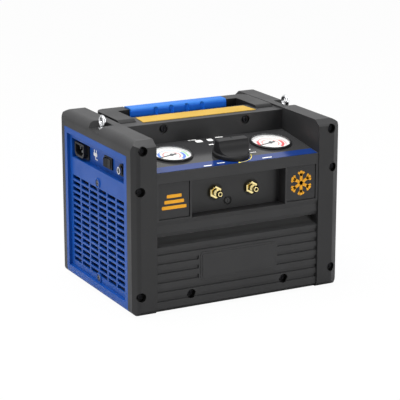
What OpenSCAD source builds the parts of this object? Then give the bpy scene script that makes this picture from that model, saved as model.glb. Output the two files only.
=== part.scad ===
// Portable refrigerant recovery machine, in millimetres.
// The front faces -Y, the width runs along X and the rubber feet stand on z = 0.

/* [Casing] */
// Width across the two side panels
body_w = 349; // [340:1:370]
// Depth from the front posts to the rear posts
body_d = 265; // [260:1:290]
// Height of the casing without its feet
body_h = 262; // [258:1:280]
// Wall of the moulded shells
wall = 3; // [2.6:0.1:3.4]
// Radius of the long edges along the top of the sides
edge_r = 14; // [11:0.5:16]
// Radius of the long edges along the bottom of the sides
base_r = 9; // [6:0.5:9.5]
// Width of the bevel on the upright corner edges
post_bevel_x = 12; // [9:0.5:13]
// Depth of the bevel on the upright corner edges
post_bevel_y = 8; // [6:0.5:9]
// Bevel along the bottom front and rear edges
sill_bevel = 6; // [4:0.5:7]
// Length of the bevel at the ends of the rails
rail_bevel_y = 13; // [8:0.5:16]
// Drop of the bevel at the ends of the rails
rail_bevel_z = 9; // [6:0.5:10]
// Width of each post and of the rail above it
post_w = 38; // [36:0.5:40]
// How far the front shell wraps round onto the sides
return_d = 22; // [21:0.5:26]
// How far the rear shell wraps round onto the sides
rear_return_d = 18.5; // [16:0.5:20]
// Height of the rail above the side panels
rail_skirt = 23.4; // [22:0.2:27]
// Height of the rubber feet below the casing
foot_h = 4; // [3:0.5:8]
// Diameter of the rubber feet
foot_d = 24; // [18:1:28]

/* [Control well] */
// Distance from the front to the well's back wall
well_depth = 111; // [108:1:116]
// Thickness of the well's back wall
well_back_t = 5; // [4.5:0.1:6]
// Drop from the rail top to the front lip
lip_drop = 50; // [46:1:52]
// Slope of the control panel in degrees
panel_tilt = 8; // [6:0.5:9]
// Thickness of the printed overlay on the panel
overlay_t = 0.6; // [0.4:0.1:1]
// Drop from the rail top to the deck
deck_drop = 3; // [2:0.5:4]
// Distance of each deck screw from the middle
deck_screw_x = 70.5; // [60:0.5:80]

/* [Front face] */
// Recess of the fascia behind the posts
fascia_recess = 1.5; // [1:0.25:2]
// Recess of the plain band below the ports
band_recess = 3.5; // [2.5:0.25:4]
// Recess of the ribbed lower field behind the posts
field_recess = 3; // [2:0.25:4]
// Drop from the lip to the lower edge of the band
band_drop = 96; // [92:1:98]
// Height of the mouth of the slot under the band
slot_h = 16; // [14:1:18]
// Depth of the slot under the band
slot_depth = 24; // [16:1:26]
// Number of grooves in the lower field
groove_count = 6; // [3:1:6]
// Height of the lowest groove's middle
groove_z = 19.6; // [18:0.2:22]
// Gap between the top groove's middle and the slot
groove_top_gap = 8.9; // [6:0.1:12]
// Height of a groove
groove_h = 5.8; // [3:0.2:7]
// Depth of a groove
groove_depth = 2.2; // [1:0.1:2.4]
// Width of the raised name frame
frame_w = 128; // [100:1:140]
// Height of the raised name frame
frame_h = 43; // [36:1:46]
// Rise of the name frame above the field
frame_rise = 0.8; // [0.4:0.1:1.5]
// Depth of the badge recesses
badge_depth = 2.5; // [1.5:0.1:3]
// Height of the badge recesses
badge_h = 54; // [46:1:56]

/* [Ports] */
// Width of the port recess
recess_w = 158; // [150:1:164]
// Height of the port recess
recess_h = 56; // [52:1:60]
// Depth of the port recess
recess_depth = 22; // [20:0.5:24]
// Drop from the lip to the top of the port recess
recess_drop = 16; // [13:0.5:18]
// Distance of each port from the middle
port_x = 30.5; // [28:0.5:34]
// Thread diameter of the flare ports
port_thread_d = 11.1; // [9:0.1:12]
// Length of the flare thread
port_thread_l = 8.5; // [7:0.5:10]
// Width across flats of the port hexagon
port_hex_af = 18; // [15:0.5:19]
// Bore of the ports
port_bore_d = 4.8; // [3:0.1:5.5]

/* [Screws] */
// Diameter of the screw recesses
hole_d = 14; // [12:0.5:15]
// Depth of the screw recesses
hole_depth = 10; // [8:0.5:11]
// Diameter of a screw head
head_d = 9.5; // [8:0.1:10]
// Height of a screw head
head_h = 3; // [2:0.1:4]
// Diameter of a screw shank
shank_d = 4; // [3:0.1:5]

/* [Gauges and knob] */
// Sideways shift of the gauges and the knob
panel_x = 3.5; // [-4:0.5:4]
// Distance of each gauge's middle from the post, without that shift
gauge_side = 52; // [49:0.5:54]
// Distance of the gauges from the front
gauge_in = 63; // [58:0.5:66]
// Outer radius of a gauge bezel
bezel_r = 32.4; // [31:0.1:34]
// Rise of a gauge bezel above the overlay
bezel_rise = 3.6; // [3.6:0.1:6]
// Depth of a gauge case below the panel
gauge_depth = 22; // [18:0.5:24]
// Sweep of a gauge needle in degrees
needle_sweep = 255; // [180:5:270]
// Clockwise turn of the scale in degrees
scale_turn = 22.5; // [0:0.5:30]
// Distance of the knob from the front
knob_in = 35; // [33:0.5:38]
// Radius of the knob's flange
knob_r = 28; // [25:0.5:29]
// Height of the knob
knob_h = 26; // [24:0.5:30]
// Height of the knob's flange
knob_flange_h = 7; // [5:0.5:9]
// Thickness of the knob's grip at its top
knob_grip_t = 12; // [10:0.5:16]
// Diameter of the valve spindle
spindle_d = 10; // [8:0.2:11]

/* [Side panels] */
// Width of the raised border
border_w = 9; // [7:0.5:11]
// Height of the border along the bottom
border_low = 16; // [12:0.5:17]
// Depth of the field inside the border
panel_recess = 5; // [4:0.25:6]
// Thickness of the grille
grille_t = 5; // [4:0.25:6]
// Number of slot rows
slot_rows = 15; // [8:1:16]
// Number of slot columns
slot_cols = 6; // [4:1:8]
// Height of the grille above the bottom edge
grille_z = 24.5; // [23:0.5:28]
// Drop from the rail top to the top of the grille
grille_drop = 96; // [95:1:104]
// Upright bar between two slots
bar_y = 4.5; // [3:0.1:6]
// Level bar between two slots
bar_z = 3.4; // [2.4:0.1:4.5]
// Depth of the electrics pocket
pocket_depth = 10; // [8:0.5:12]
// Height of the electrics pocket
pocket_h = 30; // [29:0.5:32]
// Distance of the inlet and breaker from the pocket's ends
device_in = 24; // [23:0.5:26]
// Distance of the switch from the panel's middle
switch_y = 21; // [16:0.5:24]
// Angle between the two rests of the rocker in degrees
rocker_swing = 18; // [12:1:20]
// Travel of the breaker button
button_travel = 2; // [1:0.1:2.5]

/* [Handle] */
// Width of each handle arm
arm_w = 28; // [24:0.5:30]
// Reach of the handle from its pivot to its rear edge
arm_reach = 82; // [78:0.5:88]
// Thickness of the arms below the pivot
arm_under = 4; // [3.6:0.1:6]
// Radius of the knuckle round the pivot
knuckle_r = 11; // [9:0.5:12]
// Diameter of the pivot pins
pin_d = 6; // [4:0.2:7]
// Distance of the pivot behind the seam
pivot_in = 28; // [26:0.5:30]
// Depth of the pivot below the deck
pivot_drop = 7; // [6:0.5:8]
// Length of the deck behind the pivot
deck_tail = 22; // [18:0.5:24]
// Length of the hand grip
grip_w = 168; // [150:1:176]
// Depth of the hand grip
grip_d = 26; // [24:0.5:28]
// Height of the hand grip
grip_h = 17; // [16:0.5:20]
// Drop from the deck to the floor of the handle pocket
pocket_drop = 45; // [42:0.5:48]
// Height of the rear wall below the deck
rear_drop = 21; // [18:0.5:26]

/* [Eye bolts] */
// Depth of the eye bolt notch below the rail top
notch_drop = 10; // [8:0.5:11]
// Length of the flat floor of the notch
notch_len = 30; // [26:0.5:32]
// Mean radius of the eye
eye_r = 7.6; // [7:0.1:8]
// Radius of the eye's rod
eye_rod_r = 2.6; // [2.2:0.1:3]
// Radius of the eye's bore
eye_bore_r = 5.4; // [5.2:0.1:6]

/* [Compressor set] */
// Diameter of the drive shaft
shaft_d = 12; // [10:0.5:14]
// Radius of the fan
fan_r = 60; // [52:1:62]
// Number of fan blades
blade_count = 7; // [5:1:9]
// Radius of the motor
motor_r = 46; // [42:1:48]
// Length of the motor
motor_l = 78; // [70:1:84]
// Length of the crankcase
crank_l = 84; // [78:1:88]
// Half of the crankcase's depth
crank_half = 40; // [38:1:42]
// Length of a cylinder barrel
barrel_l = 38; // [34:1:40]
// Thickness of a cylinder head
cyl_head_t = 12; // [10:0.5:14]
// Gap between the manifold and the cylinder heads below it
suction_drop = 20; // [20:0.5:26]
// Thickness of the condenser
coil_t = 22; // [18:1:24]
// Number of condenser fins
fin_count = 26; // [12:1:30]
// Number of condenser tube rows
tube_rows = 6; // [4:2:6]
// Outer diameter of the copper pipes
pipe_d = 8; // [6:0.5:9]

/* [Hidden] */
$fn = 64;

// Clearances
fit_gap = 0.05;
part_gap = 0.3;
over = 1;

// Colours
charcoal = "#3a3a3a";
black = "#1b1b1c";
panel_blue = "#2458b4";
grip_blue = "#195fd7";
steel = "#b9bdc1";
copper = "#b87343";
brass = "#c9a24a";

// Main planes of the casing
side_x = body_w / 2;
front_y = -body_d / 2;
back_y = body_d / 2;
post_x = side_x - post_w;
return_y = front_y + return_d;
rear_return_y = back_y - rear_return_d;
panel_top_z = body_h - rail_skirt;

// Control well and deck
lip_z = body_h - lip_drop;
well_back_y = front_y + well_depth;
seam_y = well_back_y + well_back_t;
deck_z = body_h - deck_drop;
well_back_z = panel_z(well_back_y);
deck_screw_z = (well_back_z + deck_z) / 2 + 6;
gauge_x = post_x - gauge_side;
gauge_y = front_y + gauge_in;
knob_y = front_y + knob_in;

// Front face
field_y = front_y + field_recess;
band_y = front_y + band_recess;
band_slope = 7;
brow_h = 5.5;
brow_d = 2;
fascia_back_y = band_y + brow_d + wall;
field_top_z = lip_z - band_drop;
field_low_z = field_top_z - slot_h;
slot_back_y = front_y + slot_depth;
slot_back_h = 3.5;
slot_rise = 9.6;
groove_pitch = (field_low_z - groove_top_gap - groove_z) / (groove_count - 1);
sill_back_y = field_y + sill_bevel + wall;
sill_top_z = sill_bevel + wall + 3;
frame_z = groove_z + 3 * groove_pitch;
frame_clear = 3;
recess_top_z = lip_z - recess_drop;
recess_back_y = front_y + recess_depth;
port_wall_y = recess_back_y + wall;
recess_low_z = recess_top_z - recess_h;
port_z = recess_top_z - recess_h / 2;
badge_gap = 4;
badge_x0 = recess_w / 2 + wall;
badge_x1 = post_x - badge_gap;

// Screw places, as distances from the middle and heights
boss_wall = 2.5;
boss_floor = 4;
top_screw_in = 16.5;
top_screw_drop = 14;
side_screw_in = 12.5;
mid_screw_drop = 24;
low_screw_z = 29;
post_screws = [
    [side_x - top_screw_in, body_h - top_screw_drop],
    [side_x - side_screw_in, lip_z - mid_screw_drop],
    [side_x - side_screw_in, low_screw_z]
];
rear_screw_in = 20;
rear_screw_drop = 18;
rear_post_screws = [
    [side_x - rear_screw_in, body_h - rear_screw_drop],
    [side_x - rear_screw_in, lip_z - mid_screw_drop],
    [side_x - rear_screw_in, low_screw_z]
];
sill_screw_x = 79;
sill_screw_z = 22;
sill_screw = [sill_screw_x, sill_screw_z];
port_screw_x = -9;
port_screw_drop = 16;
port_screw_z = port_z - port_screw_drop;
port_screw_l = wall + 9;
port_seat_d = 25.5;
port_seat = 1.5;

// Rear shell, handle pocket and eye bolt notch
rear_recess = 2;
rear_wall_t = rear_recess + wall;
rear_sill_y = back_y - rear_recess - sill_bevel - wall;
rear_top_z = deck_z - rear_drop;
pivot_y = seam_y + pivot_in;
pivot_z = deck_z - pivot_drop;
deck_back_y = pivot_y + deck_tail;
pocket_z = deck_z - pocket_drop;
arm_x1 = post_x - 4;
arm_x0 = arm_x1 - arm_w;
arm_back_y = pivot_y + arm_reach;
slot_x0 = arm_x0 - part_gap;
slot_x1 = arm_x1 + part_gap;
slot_y0 = pivot_y - knuckle_r - part_gap;
slot_z = pivot_z - knuckle_r - part_gap;
arm_top_z = pivot_z + knuckle_r;
arm_low_z = pivot_z - arm_under;
bar_d = 14;
bar_h = 9;
grip_y = arm_back_y - grip_d / 2 - 3;
grip_z = arm_top_z - grip_h / 2 + 2;
notch_z = body_h - notch_drop;
notch_slope = 7;
eye_x = side_x - 16.5;
eye_y = seam_y + notch_len / 2 + notch_slope + 1.5;
notch_x = eye_x - 9;
eye_collar_r = 6.5;
eye_collar_h = 3;
eye_z = notch_z + eye_collar_h + eye_r + 1.6;

// Side panels and electrics
slab_t = panel_recess + grille_t;
panel_y0 = return_y + part_gap;
panel_y1 = rear_return_y - part_gap;
panel_yc = (panel_y0 + panel_y1) / 2;
panel_z1 = panel_top_z - part_gap;
field_half = (panel_y1 - panel_y0) / 2 - border_w;
grille_margin = 6.7;
grille_half = field_half - grille_margin;
pocket_half = field_half - 7.7;
device_y = pocket_half - device_in;
grille_h = body_h - grille_drop - grille_z;
pocket_top_z = panel_z1 - border_w - 7;
pocket_zc = pocket_top_z - pocket_h / 2;
field_x = -side_x + panel_recess;
pocket_x = field_x + pocket_depth;
panel_screw_zs = [grille_z - 2, grille_z + grille_h + 6];
panel_boss_d = 16;
panel_bore_d = 11;

// Base tray and feet
tray_t = 2;
tray_z = wall + tray_t;
tray_lip_h = 26;
tray_tab_w = 24;
foot_x = side_x - 45;
foot_ys = [return_y + 20, rear_return_y - 25];

// Mains inlet
inlet_w = 34;
inlet_h = 22;
inlet_cut = 5;
inlet_out = 8.5;
inlet_in = 12;
inlet_rim = 3.2;
inlet_flange_w = 44;
inlet_flange_h = 27;
inlet_flange_t = 1.8;
blade_w = 4;
blade_t = 2;
blade_pitch = 7;

// Switch and breaker
switch_w = 27;
switch_h = 18;
switch_t = 2.2;
switch_in = 13;
rocker_r = 10.6;
rocker_h = 13;
axle_d = 3;
axle_l = rocker_h + 1.6;
nut_d = 20;
nut_t = 4;
bush_d = 14.5;
breaker_in = 11;
bush_out = 6;
button_d = 11;
button_out = 2.6;

// Gauge
case_r = bezel_r - 1.4;
lens_r = case_r - 1;
lens_t = 1.6;
dial_r = lens_r - 1;
dial_t = 1;
dial_rim = 0.8;
lens_low = overlay_t + bezel_rise - lens_t - 0.8;
dial_top = lens_low - 2.2;
stem_d = 12;
stem_l = 10;
needle_post_d = 2;

// Compressor set, from the left panel to the right along the shaft
axis_y = panel_yc;
axis_z = grille_z + grille_h / 2;
coil_x = -side_x + slab_t + 8 + coil_t / 2;
shroud_x = coil_x + coil_t / 2 + 4;
shroud_t = 2;
fan_x = shroud_x + shroud_t + 14;
fan_l = 20;
motor_x = fan_x + fan_l / 2 + 8;
crank_x = motor_x + motor_l;
crank_mid = crank_x + crank_l / 2;
isolator_h = 14;
isolator_d = 20;
isolator_in = 14;
isolator_y = 36;
plate_half = 50;
plate_z = tray_z + isolator_h;
plate_t = 3;
plate_top = plate_z + plate_t;
head_mid = crank_half + barrel_l + cyl_head_t / 2;
bearing_w = 10;
bearing_r = 16;
coil_half = grille_half - 6;
coil_z0 = grille_z + 4;
coil_z1 = grille_z + grille_h;
fin_t = 0.8;
end_plate_t = 2;
tube_pitch = floor(4 * (coil_z1 - coil_z0) / tube_rows) / 4;
tube_z0 = coil_z0 + tube_pitch / 2;
tube_top_z = tube_z0 + (tube_rows - 1) * tube_pitch;
tube_out = 5;
pipe_bend = 8;
discharge_rise = 26;
liquid_gap = 24;

// Manifold
manifold_half = port_x + 14.5;
manifold_land = 11;
manifold_d = axis_y - head_mid - cyl_head_t / 2 + manifold_land - port_wall_y;
manifold_low = port_z - 20;
manifold_top = port_z + 22;
manifold_y = port_wall_y + manifold_d / 2 + 1;
cyl_head_half = manifold_low - axis_z - suction_drop;
spindle_l = 46;
line_d = 5;
line_bend = 6;
line_drop = 14;
line_in = 12;
line_run = 2 * line_bend + 1;

// Control board
board_t = 1.6;
board_drop = 12;
board_half_x = 70;
board_post_d = 8;
board_post_in = 6;
cap_d = 18;
cap_h = 9;
cap_pitch = 24;
sink_x = 4;
sink_in = 10;
sink_w = 52;
sink_d = 40;
sink_t = 3;
sink_fin_t = 2;
sink_fins = 7;
board_y0 = deck_back_y + 8;
board_y1 = rear_sill_y - 8;
board_top = pocket_z - wall - board_drop;

// Height of the sloped control panel at a depth
function panel_z(y) = lip_z + (y - front_y) * tan(panel_tilt);

// Unit vector along a
function unit(a) = a / norm(a);

// A cosine held to its range
function clamped(c) = max(-1, min(1, c));

// A box between two corners given as ranges
module span(x, y, z) {
    translate([x[0], y[0], z[0]])
        cube([x[1] - x[0], y[1] - y[0], z[1] - z[0]]);
}

// Extrudes a profile drawn in X and Z from y0 to y1
module along_y(y0, y1) {
    translate([0, y1, 0])
        rotate([90, 0, 0])
            linear_extrude(y1 - y0)
                children();
}

// Extrudes a profile drawn in Y and Z from x0 to x1
module along_x(x0, x1) {
    translate([x0, 0, 0])
        rotate([90, 0, 90])
            linear_extrude(x1 - x0)
                children();
}

// A cylinder along +Y from a point
module rod_y(p, d, l) {
    translate(p)
        rotate([-90, 0, 0])
            cylinder(d = d, h = l);
}

// A cylinder along +X from a point
module rod_x(p, d, l) {
    translate(p)
        rotate([0, 90, 0])
            cylinder(d = d, h = l);
}

module both_sides() {
    children();
    mirror([1, 0, 0])
        children();
}

// Stands a child on the sloped control panel, with its Z axis off the panel
module on_panel(x, y) {
    translate([x, y, panel_z(y)])
        rotate([panel_tilt, 0, 0])
            children();
}

// Sets a child in the electrics pocket: X to the front, Y up, Z out of the machine
module in_pocket(y) {
    translate([pocket_x, y, pocket_zc])
        rotate([90, 0, -90])
            children();
}

// A rectangle about the origin with round corners
module round_rect(w, h, r) {
    square([w - 2 * r, h], center = true);
    square([w, h - 2 * r], center = true);
    for (sx = [-1, 1], sy = [-1, 1])
        translate([sx * (w / 2 - r), sy * (h / 2 - r)])
            circle(r);
}

// Lifts the casing so that its feet stand on the floor
module on_feet() {
    translate([0, 0, foot_h])
        children();
}

// A straight run of round bar between two points
module bar_between(a, b, d) {
    run = b - a;
    turn = atan2(run[1], run[0]);
    lean = acos(clamped(run[2] / norm(run)));
    translate(a)
        rotate([0, lean, turn])
            cylinder(d = d, h = norm(run));
}

// A round bend at p, from direction u to direction v
module bar_bend(p, u, v, d, r) {
    angle = acos(clamped(u * v));
    side = unit(v - (u * v) * u);
    start = p - u * r * tan(angle / 2);
    centre = start + side * r;
    third = cross(-side, u);
    multmatrix([
        [-side[0], u[0], third[0], centre[0]],
        [-side[1], u[1], third[1], centre[1]],
        [-side[2], u[2], third[2], centre[2]]
    ])
        rotate_extrude(angle = angle)
            translate([r, 0])
                circle(d = d);
}

// A pipe along a list of points with a round bend at each inner point
module bent_pipe(points, d, r) {
    last = len(points) - 1;
    dirs = [for (i = [0:last - 1]) unit(points[i + 1] - points[i])];
    cuts = [for (i = [0:last]) i == 0 || i == last ? 0 : r * tan(acos(clamped(dirs[i - 1] * dirs[i])) / 2)];
    for (i = [0:last - 1])
        bar_between(points[i] + dirs[i] * cuts[i], points[i + 1] - dirs[i] * cuts[i + 1], d);
    for (i = [1:1:last - 1])
        bar_bend(points[i], dirs[i - 1], dirs[i], d, r);
}

// Side view of the casing, inset by g
module side_outline(g) {
    low = g;
    high = body_h - g;
    far = body_d / 2 - g;
    polygon([
        [-far + sill_bevel, low],
        [-far, low + sill_bevel],
        [-far, high - rail_bevel_z],
        [-far + rail_bevel_y, high],
        [far - rail_bevel_y, high],
        [far, high - rail_bevel_z],
        [far, low + sill_bevel],
        [far - sill_bevel, low]
    ]);
}

// Top view of the casing with bevelled corners, inset by g
module plan_outline(g) {
    wide = side_x - g;
    deep = body_d / 2 - g;
    polygon([
        [-wide + post_bevel_x, -deep], [wide - post_bevel_x, -deep],
        [wide, -deep + post_bevel_y], [wide, deep - post_bevel_y],
        [wide - post_bevel_x, deep], [-wide + post_bevel_x, deep],
        [-wide, deep - post_bevel_y], [-wide, -deep + post_bevel_y]
    ]);
}

// Front view of the casing with round edges, inset by g
module front_outline(g) {
    wide = body_w - 2 * g;
    high = body_h - 2 * g;
    translate([0, body_h / 2])
        round_rect(wide, high, edge_r - g);
    translate([0, g + high / 4])
        round_rect(wide, high / 2, base_r - g);
}

// Outer form of the whole casing, inset by g
module envelope(g = 0) {
    intersection() {
        along_y(front_y + g, back_y - g)
            front_outline(g);
        along_x(-side_x + g, side_x - g)
            side_outline(g);
        translate([0, 0, g])
            linear_extrude(body_h - 2 * g)
                plan_outline(g);
    }
}

// Skin of the casing between two depths, over its full height and above the side panels
module shell_skin(full_ys, rail_ys) {
    difference() {
        intersection() {
            envelope();
            union() {
                span([-side_x, side_x], full_ys, [0, body_h]);
                span([-side_x, side_x], rail_ys, [panel_top_z, body_h]);
            }
        }
        envelope(wall);
    }
}

// Inner walls of the rails between two depths, down to a height
module rail_inner_walls(ys, low) {
    intersection() {
        envelope();
        both_sides()
            span([post_x, post_x + wall], ys, [low, body_h]);
    }
}

// Level grooves cut into a wall at depth y, clear of a frame of half width gap_x
module grooves(y, gap_x) {
    for (i = [0:groove_count - 1]) {
        z = groove_z + i * groove_pitch;
        zs = [z - groove_h / 2, z + groove_h / 2];
        beside = abs(z - frame_z) < frame_h / 2 + frame_clear;
        x0 = beside ? gap_x : 0;
        both_sides()
            span([x0, post_x], [y - over, y + groove_depth], zs);
    }
}

// Space in front of the fascia and the ribbed field, with the slot between them
module field_space() {
    along_x(-post_x, post_x)
        polygon([
            [front_y - over, -over],
            [front_y - over, body_h + over],
            [front_y + fascia_recess, body_h + over],
            [front_y + fascia_recess, recess_low_z - 0.5],
            [band_y, recess_low_z - band_slope],
            [band_y, field_top_z + brow_h],
            [band_y + brow_d, field_top_z],
            [slot_back_y, field_low_z + slot_rise + slot_back_h],
            [slot_back_y, field_low_z + slot_rise],
            [field_y, field_low_z],
            [field_y, sill_bevel],
            [field_y + sill_bevel, 0],
            [field_y + sill_bevel, -over]
        ]);
}

// Open space of the control well, and the step above the deck's front edge
module well_space() {
    along_x(-post_x, post_x)
        polygon([
            [front_y - over, panel_z(front_y - over)],
            [well_back_y, well_back_z],
            [well_back_y, deck_z],
            [seam_y + over, deck_z],
            [seam_y + over, body_h + over],
            [front_y - over, body_h + over]
        ]);
}

// Sloped control panel, with the well's back wall
module well_walls() {
    drop = wall / cos(panel_tilt);
    along_x(-post_x - wall, post_x + wall)
        polygon([
            [front_y + fascia_recess, lip_z - drop],
            [front_y + fascia_recess, panel_z(front_y + fascia_recess)],
            [well_back_y + over, panel_z(well_back_y + over)],
            [well_back_y + over, panel_z(well_back_y + over) - drop]
        ]);
    span([-post_x, post_x], [well_back_y, seam_y], [well_back_z - drop, deck_z]);
    rail_inner_walls([front_y, seam_y], lip_z - wall - over);
}

// Walls round the port recess
module port_tray() {
    half = recess_w / 2 + wall;
    span([-half, half], [front_y + fascia_recess, port_wall_y],
        [recess_low_z - wall, recess_top_z + wall]);
}

// Walls round the slot above the ribbed field
module slot_tray() {
    half = post_x + wall;
    span([-half, half], [fascia_back_y - over, slot_back_y + wall], [field_low_z, field_top_z + wall]);
}

// Bosses behind the recessed screws of a wall at depth y
module screw_bosses(places, y) {
    for (p = places)
        both_sides()
            rod_y([p[0], y, p[1]], hole_d + 2 * boss_wall, hole_depth + boss_floor);
}

// Recesses and clearance holes for the screws of a wall at depth y
module screw_cuts(places, y) {
    for (p = places)
        both_sides() {
            rod_y([p[0], y - post_w, p[1]], hole_d, post_w + hole_depth);
            rod_y([p[0], y, p[1]], shank_d + 2 * fit_gap, hole_depth + boss_floor + over);
        }
}

// Holes through the control panel for the gauges and the spindle
module panel_cuts() {
    for (s = [-1, 1])
        on_panel(panel_x + s * gauge_x, gauge_y)
            cylinder(r = case_r + part_gap, h = 4 * wall, center = true);
    on_panel(panel_x, knob_y)
        cylinder(d = spindle_d + 2, h = 4 * wall, center = true);
}

// Solid parts of the front shell before its recesses are cut
module front_blank() {
    shell_skin([front_y, return_y], [front_y, seam_y]);
    intersection() {
        envelope();
        union() {
            span([-post_x - wall, post_x + wall], [front_y, fascia_back_y], [0, lip_z]);
            span([-post_x, post_x], [front_y, sill_back_y], [0, sill_top_z]);
            screw_bosses(post_screws, front_y);
            screw_bosses([sill_screw], field_y);
        }
    }
    well_walls();
    port_tray();
    slot_tray();
}

module front_housing() {
    color(charcoal) {
        difference() {
            front_blank();
            field_space();
            well_space();
            grooves(field_y, frame_w / 2 + frame_clear);
            both_sides()
                span([badge_x0, badge_x1], [front_y, front_y + fascia_recess + badge_depth],
                    [recess_top_z - badge_h, recess_top_z]);
            span([-recess_w / 2, recess_w / 2], [front_y - over, recess_back_y],
                [recess_low_z, recess_top_z]);
            both_sides()
                rod_y([port_x, recess_back_y - over, port_z], port_body_d + 2 * part_gap, wall + 2 * over);
            both_sides()
                rod_y([port_x, recess_back_y - over, port_z], port_seat_d, over + port_seat);
            rod_y([port_screw_x, recess_back_y - over, port_screw_z], shank_d + 2 * fit_gap, wall + 2 * over);
            rod_y([port_screw_x, recess_back_y - over, port_screw_z], hole_d, over + port_seat);
            screw_cuts(post_screws, front_y);
            screw_cuts([sill_screw], field_y);
            both_sides() {
                rod_y([deck_screw_x, well_back_y - over, deck_screw_z], hole_d, over + head_h);
                rod_y([deck_screw_x, well_back_y, deck_screw_z], shank_d + 2 * fit_gap, well_back_t + over);
            }
            panel_cuts();
        }
        along_y(field_y - frame_rise, field_y + over)
            translate([0, frame_z])
                round_rect(frame_w, frame_h, 5);
    }
}

// Raised part of the rear shell round an eye bolt notch
module notch_block() {
    span([post_x, side_x], [seam_y, eye_y + notch_len / 2 + notch_slope + wall],
        [notch_z - wall - 2, body_h]);
}

// Notch with sloped ends, open to the outside
module notch_space() {
    half = notch_len / 2;
    along_x(notch_x, side_x + over)
        polygon([
            [eye_y - half, notch_z],
            [eye_y + half, notch_z],
            [eye_y + half + notch_slope, body_h + over],
            [eye_y - half - notch_slope, body_h + over]
        ]);
}

// Deck, handle pocket and the boxes that take the handle's knuckles
module deck_walls() {
    span([-post_x, post_x], [seam_y, deck_back_y], [deck_z - wall, deck_z]);
    span([-post_x, post_x], [seam_y, seam_y + wall], [well_back_z, deck_z]);
    span([-post_x, post_x], [deck_back_y - wall, deck_back_y], [pocket_z - wall, deck_z]);
    span([-post_x, post_x], [deck_back_y - wall, back_y - wall], [pocket_z - wall, pocket_z]);
    rail_inner_walls([seam_y, back_y], pocket_z - wall);
    both_sides()
        span([slot_x0 - wall, post_x], [slot_y0 - wall, deck_back_y], [slot_z - wall, deck_z]);
}

// Posts that the control board hangs from
module board_posts(d, low, high) {
    inset = board_post_in;
    for (x = [-board_half_x + inset, board_half_x - inset], y = [board_y0 + inset, board_y1 - inset])
        translate([x, y, low])
            cylinder(d = d, h = high - low);
}

// Solid parts of the rear shell before its recesses are cut
module rear_blank() {
    shell_skin([rear_return_y, back_y], [seam_y, back_y]);
    intersection() {
        envelope();
        union() {
            span([-post_x - wall, post_x + wall], [back_y - rear_wall_t, back_y], [0, rear_top_z]);
            span([-post_x, post_x], [rear_sill_y, back_y], [0, sill_top_z]);
            mirror([0, 1, 0])
                screw_bosses(rear_post_screws, front_y);
            both_sides()
                notch_block();
        }
    }
    deck_walls();
    board_posts(board_post_d, board_top, pocket_z - over);
}

module rear_housing() {
    color(charcoal)
        difference() {
            rear_blank();
            span([-post_x, post_x], [seam_y - over, deck_back_y + over], [deck_z, body_h + over]);
            span([-post_x, post_x], [deck_back_y, back_y - rear_wall_t], [pocket_z, body_h + over]);
            span([-post_x, post_x], [deck_back_y, back_y + over], [rear_top_z, body_h + over]);
            along_x(-post_x, post_x)
                polygon([
                    [back_y + over, -over],
                    [back_y + over, body_h],
                    [back_y - rear_recess, body_h],
                    [back_y - rear_recess, sill_bevel],
                    [back_y - rear_recess - sill_bevel, 0],
                    [back_y - rear_recess - sill_bevel, -over]
                ]);
            mirror([0, 1, 0]) {
                grooves(front_y + rear_recess, 0);
                screw_cuts(rear_post_screws, front_y);
            }
            both_sides() {
                span([slot_x0, slot_x1], [slot_y0, deck_back_y + over], [slot_z, deck_z + over]);
                rod_x([slot_x0 - wall - over, pivot_y, pivot_z], pin_d + 2 * fit_gap,
                    post_x + wall - slot_x0 + wall + 2 * over);
                notch_space();
                translate([eye_x, eye_y, notch_z - 3 * wall])
                    cylinder(d = shank_d + 2 + 2 * fit_gap, h = 4 * wall);
                rod_y([deck_screw_x, seam_y - over, deck_screw_z], shank_d + 2 * fit_gap, wall + 2 * over);
            }
        }
}

// Slots of one grille
module grille_slots() {
    step_y = 2 * grille_half / slot_cols;
    step_z = grille_h / slot_rows;
    for (col = [0:slot_cols - 1], row = [0:slot_rows - 1]) {
        y = panel_yc - grille_half + (col + 0.5) * step_y;
        z = grille_z + (row + 0.5) * step_z;
        span([field_x - over, field_x + grille_t + over],
            [y - (step_y - bar_y) / 2, y + (step_y - bar_y) / 2],
            [z - (step_z - bar_z) / 2, z + (step_z - bar_z) / 2]);
    }
}

// Plain left-hand side panel with its border, grille and screw bosses
module panel_blank() {
    difference() {
        union() {
            difference() {
                intersection() {
                    envelope();
                    span([-side_x, -side_x + slab_t], [panel_y0, panel_y1], [0, panel_z1]);
                }
                span([-side_x - over, field_x], [panel_yc - field_half, panel_yc + field_half],
                    [border_low, panel_z1 - border_w]);
                grille_slots();
            }
            for (z = panel_screw_zs)
                rod_x([field_x - 1.5, panel_yc, z], panel_boss_d, grille_t + 1.5);
        }
        for (z = panel_screw_zs) {
            rod_x([-side_x - over, panel_yc, z], panel_bore_d, panel_recess + over + head_h - 1.5);
            rod_x([-side_x, panel_yc, z], shank_d + 2 * fit_gap, slab_t + over);
        }
    }
}

// Rocker switch cut-out, breaker hole and inlet cut-out in the pocket's floor
module device_cuts() {
    in_pocket(panel_yc + device_y)
        translate([0, 0, -wall - over])
            linear_extrude(wall + 2 * over)
                inlet_outline(part_gap);
    in_pocket(panel_yc - switch_y)
        cube([switch_w - 4 + 2 * part_gap, switch_h - 2.6 + 2 * part_gap, 4 * wall], center = true);
    in_pocket(panel_yc - device_y)
        cylinder(d = bush_d + 2 * part_gap, h = 4 * wall, center = true);
}

module left_side_panel() {
    ys = [panel_yc - pocket_half, panel_yc + pocket_half];
    zs = [pocket_zc - pocket_h / 2, pocket_zc + pocket_h / 2];
    color(panel_blue)
        difference() {
            union() {
                panel_blank();
                span([field_x, pocket_x + wall], [ys[0] - wall, ys[1] + wall], [zs[0] - wall, zs[1] + wall]);
            }
            span([-side_x, pocket_x], ys, zs);
            device_cuts();
        }
}

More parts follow.
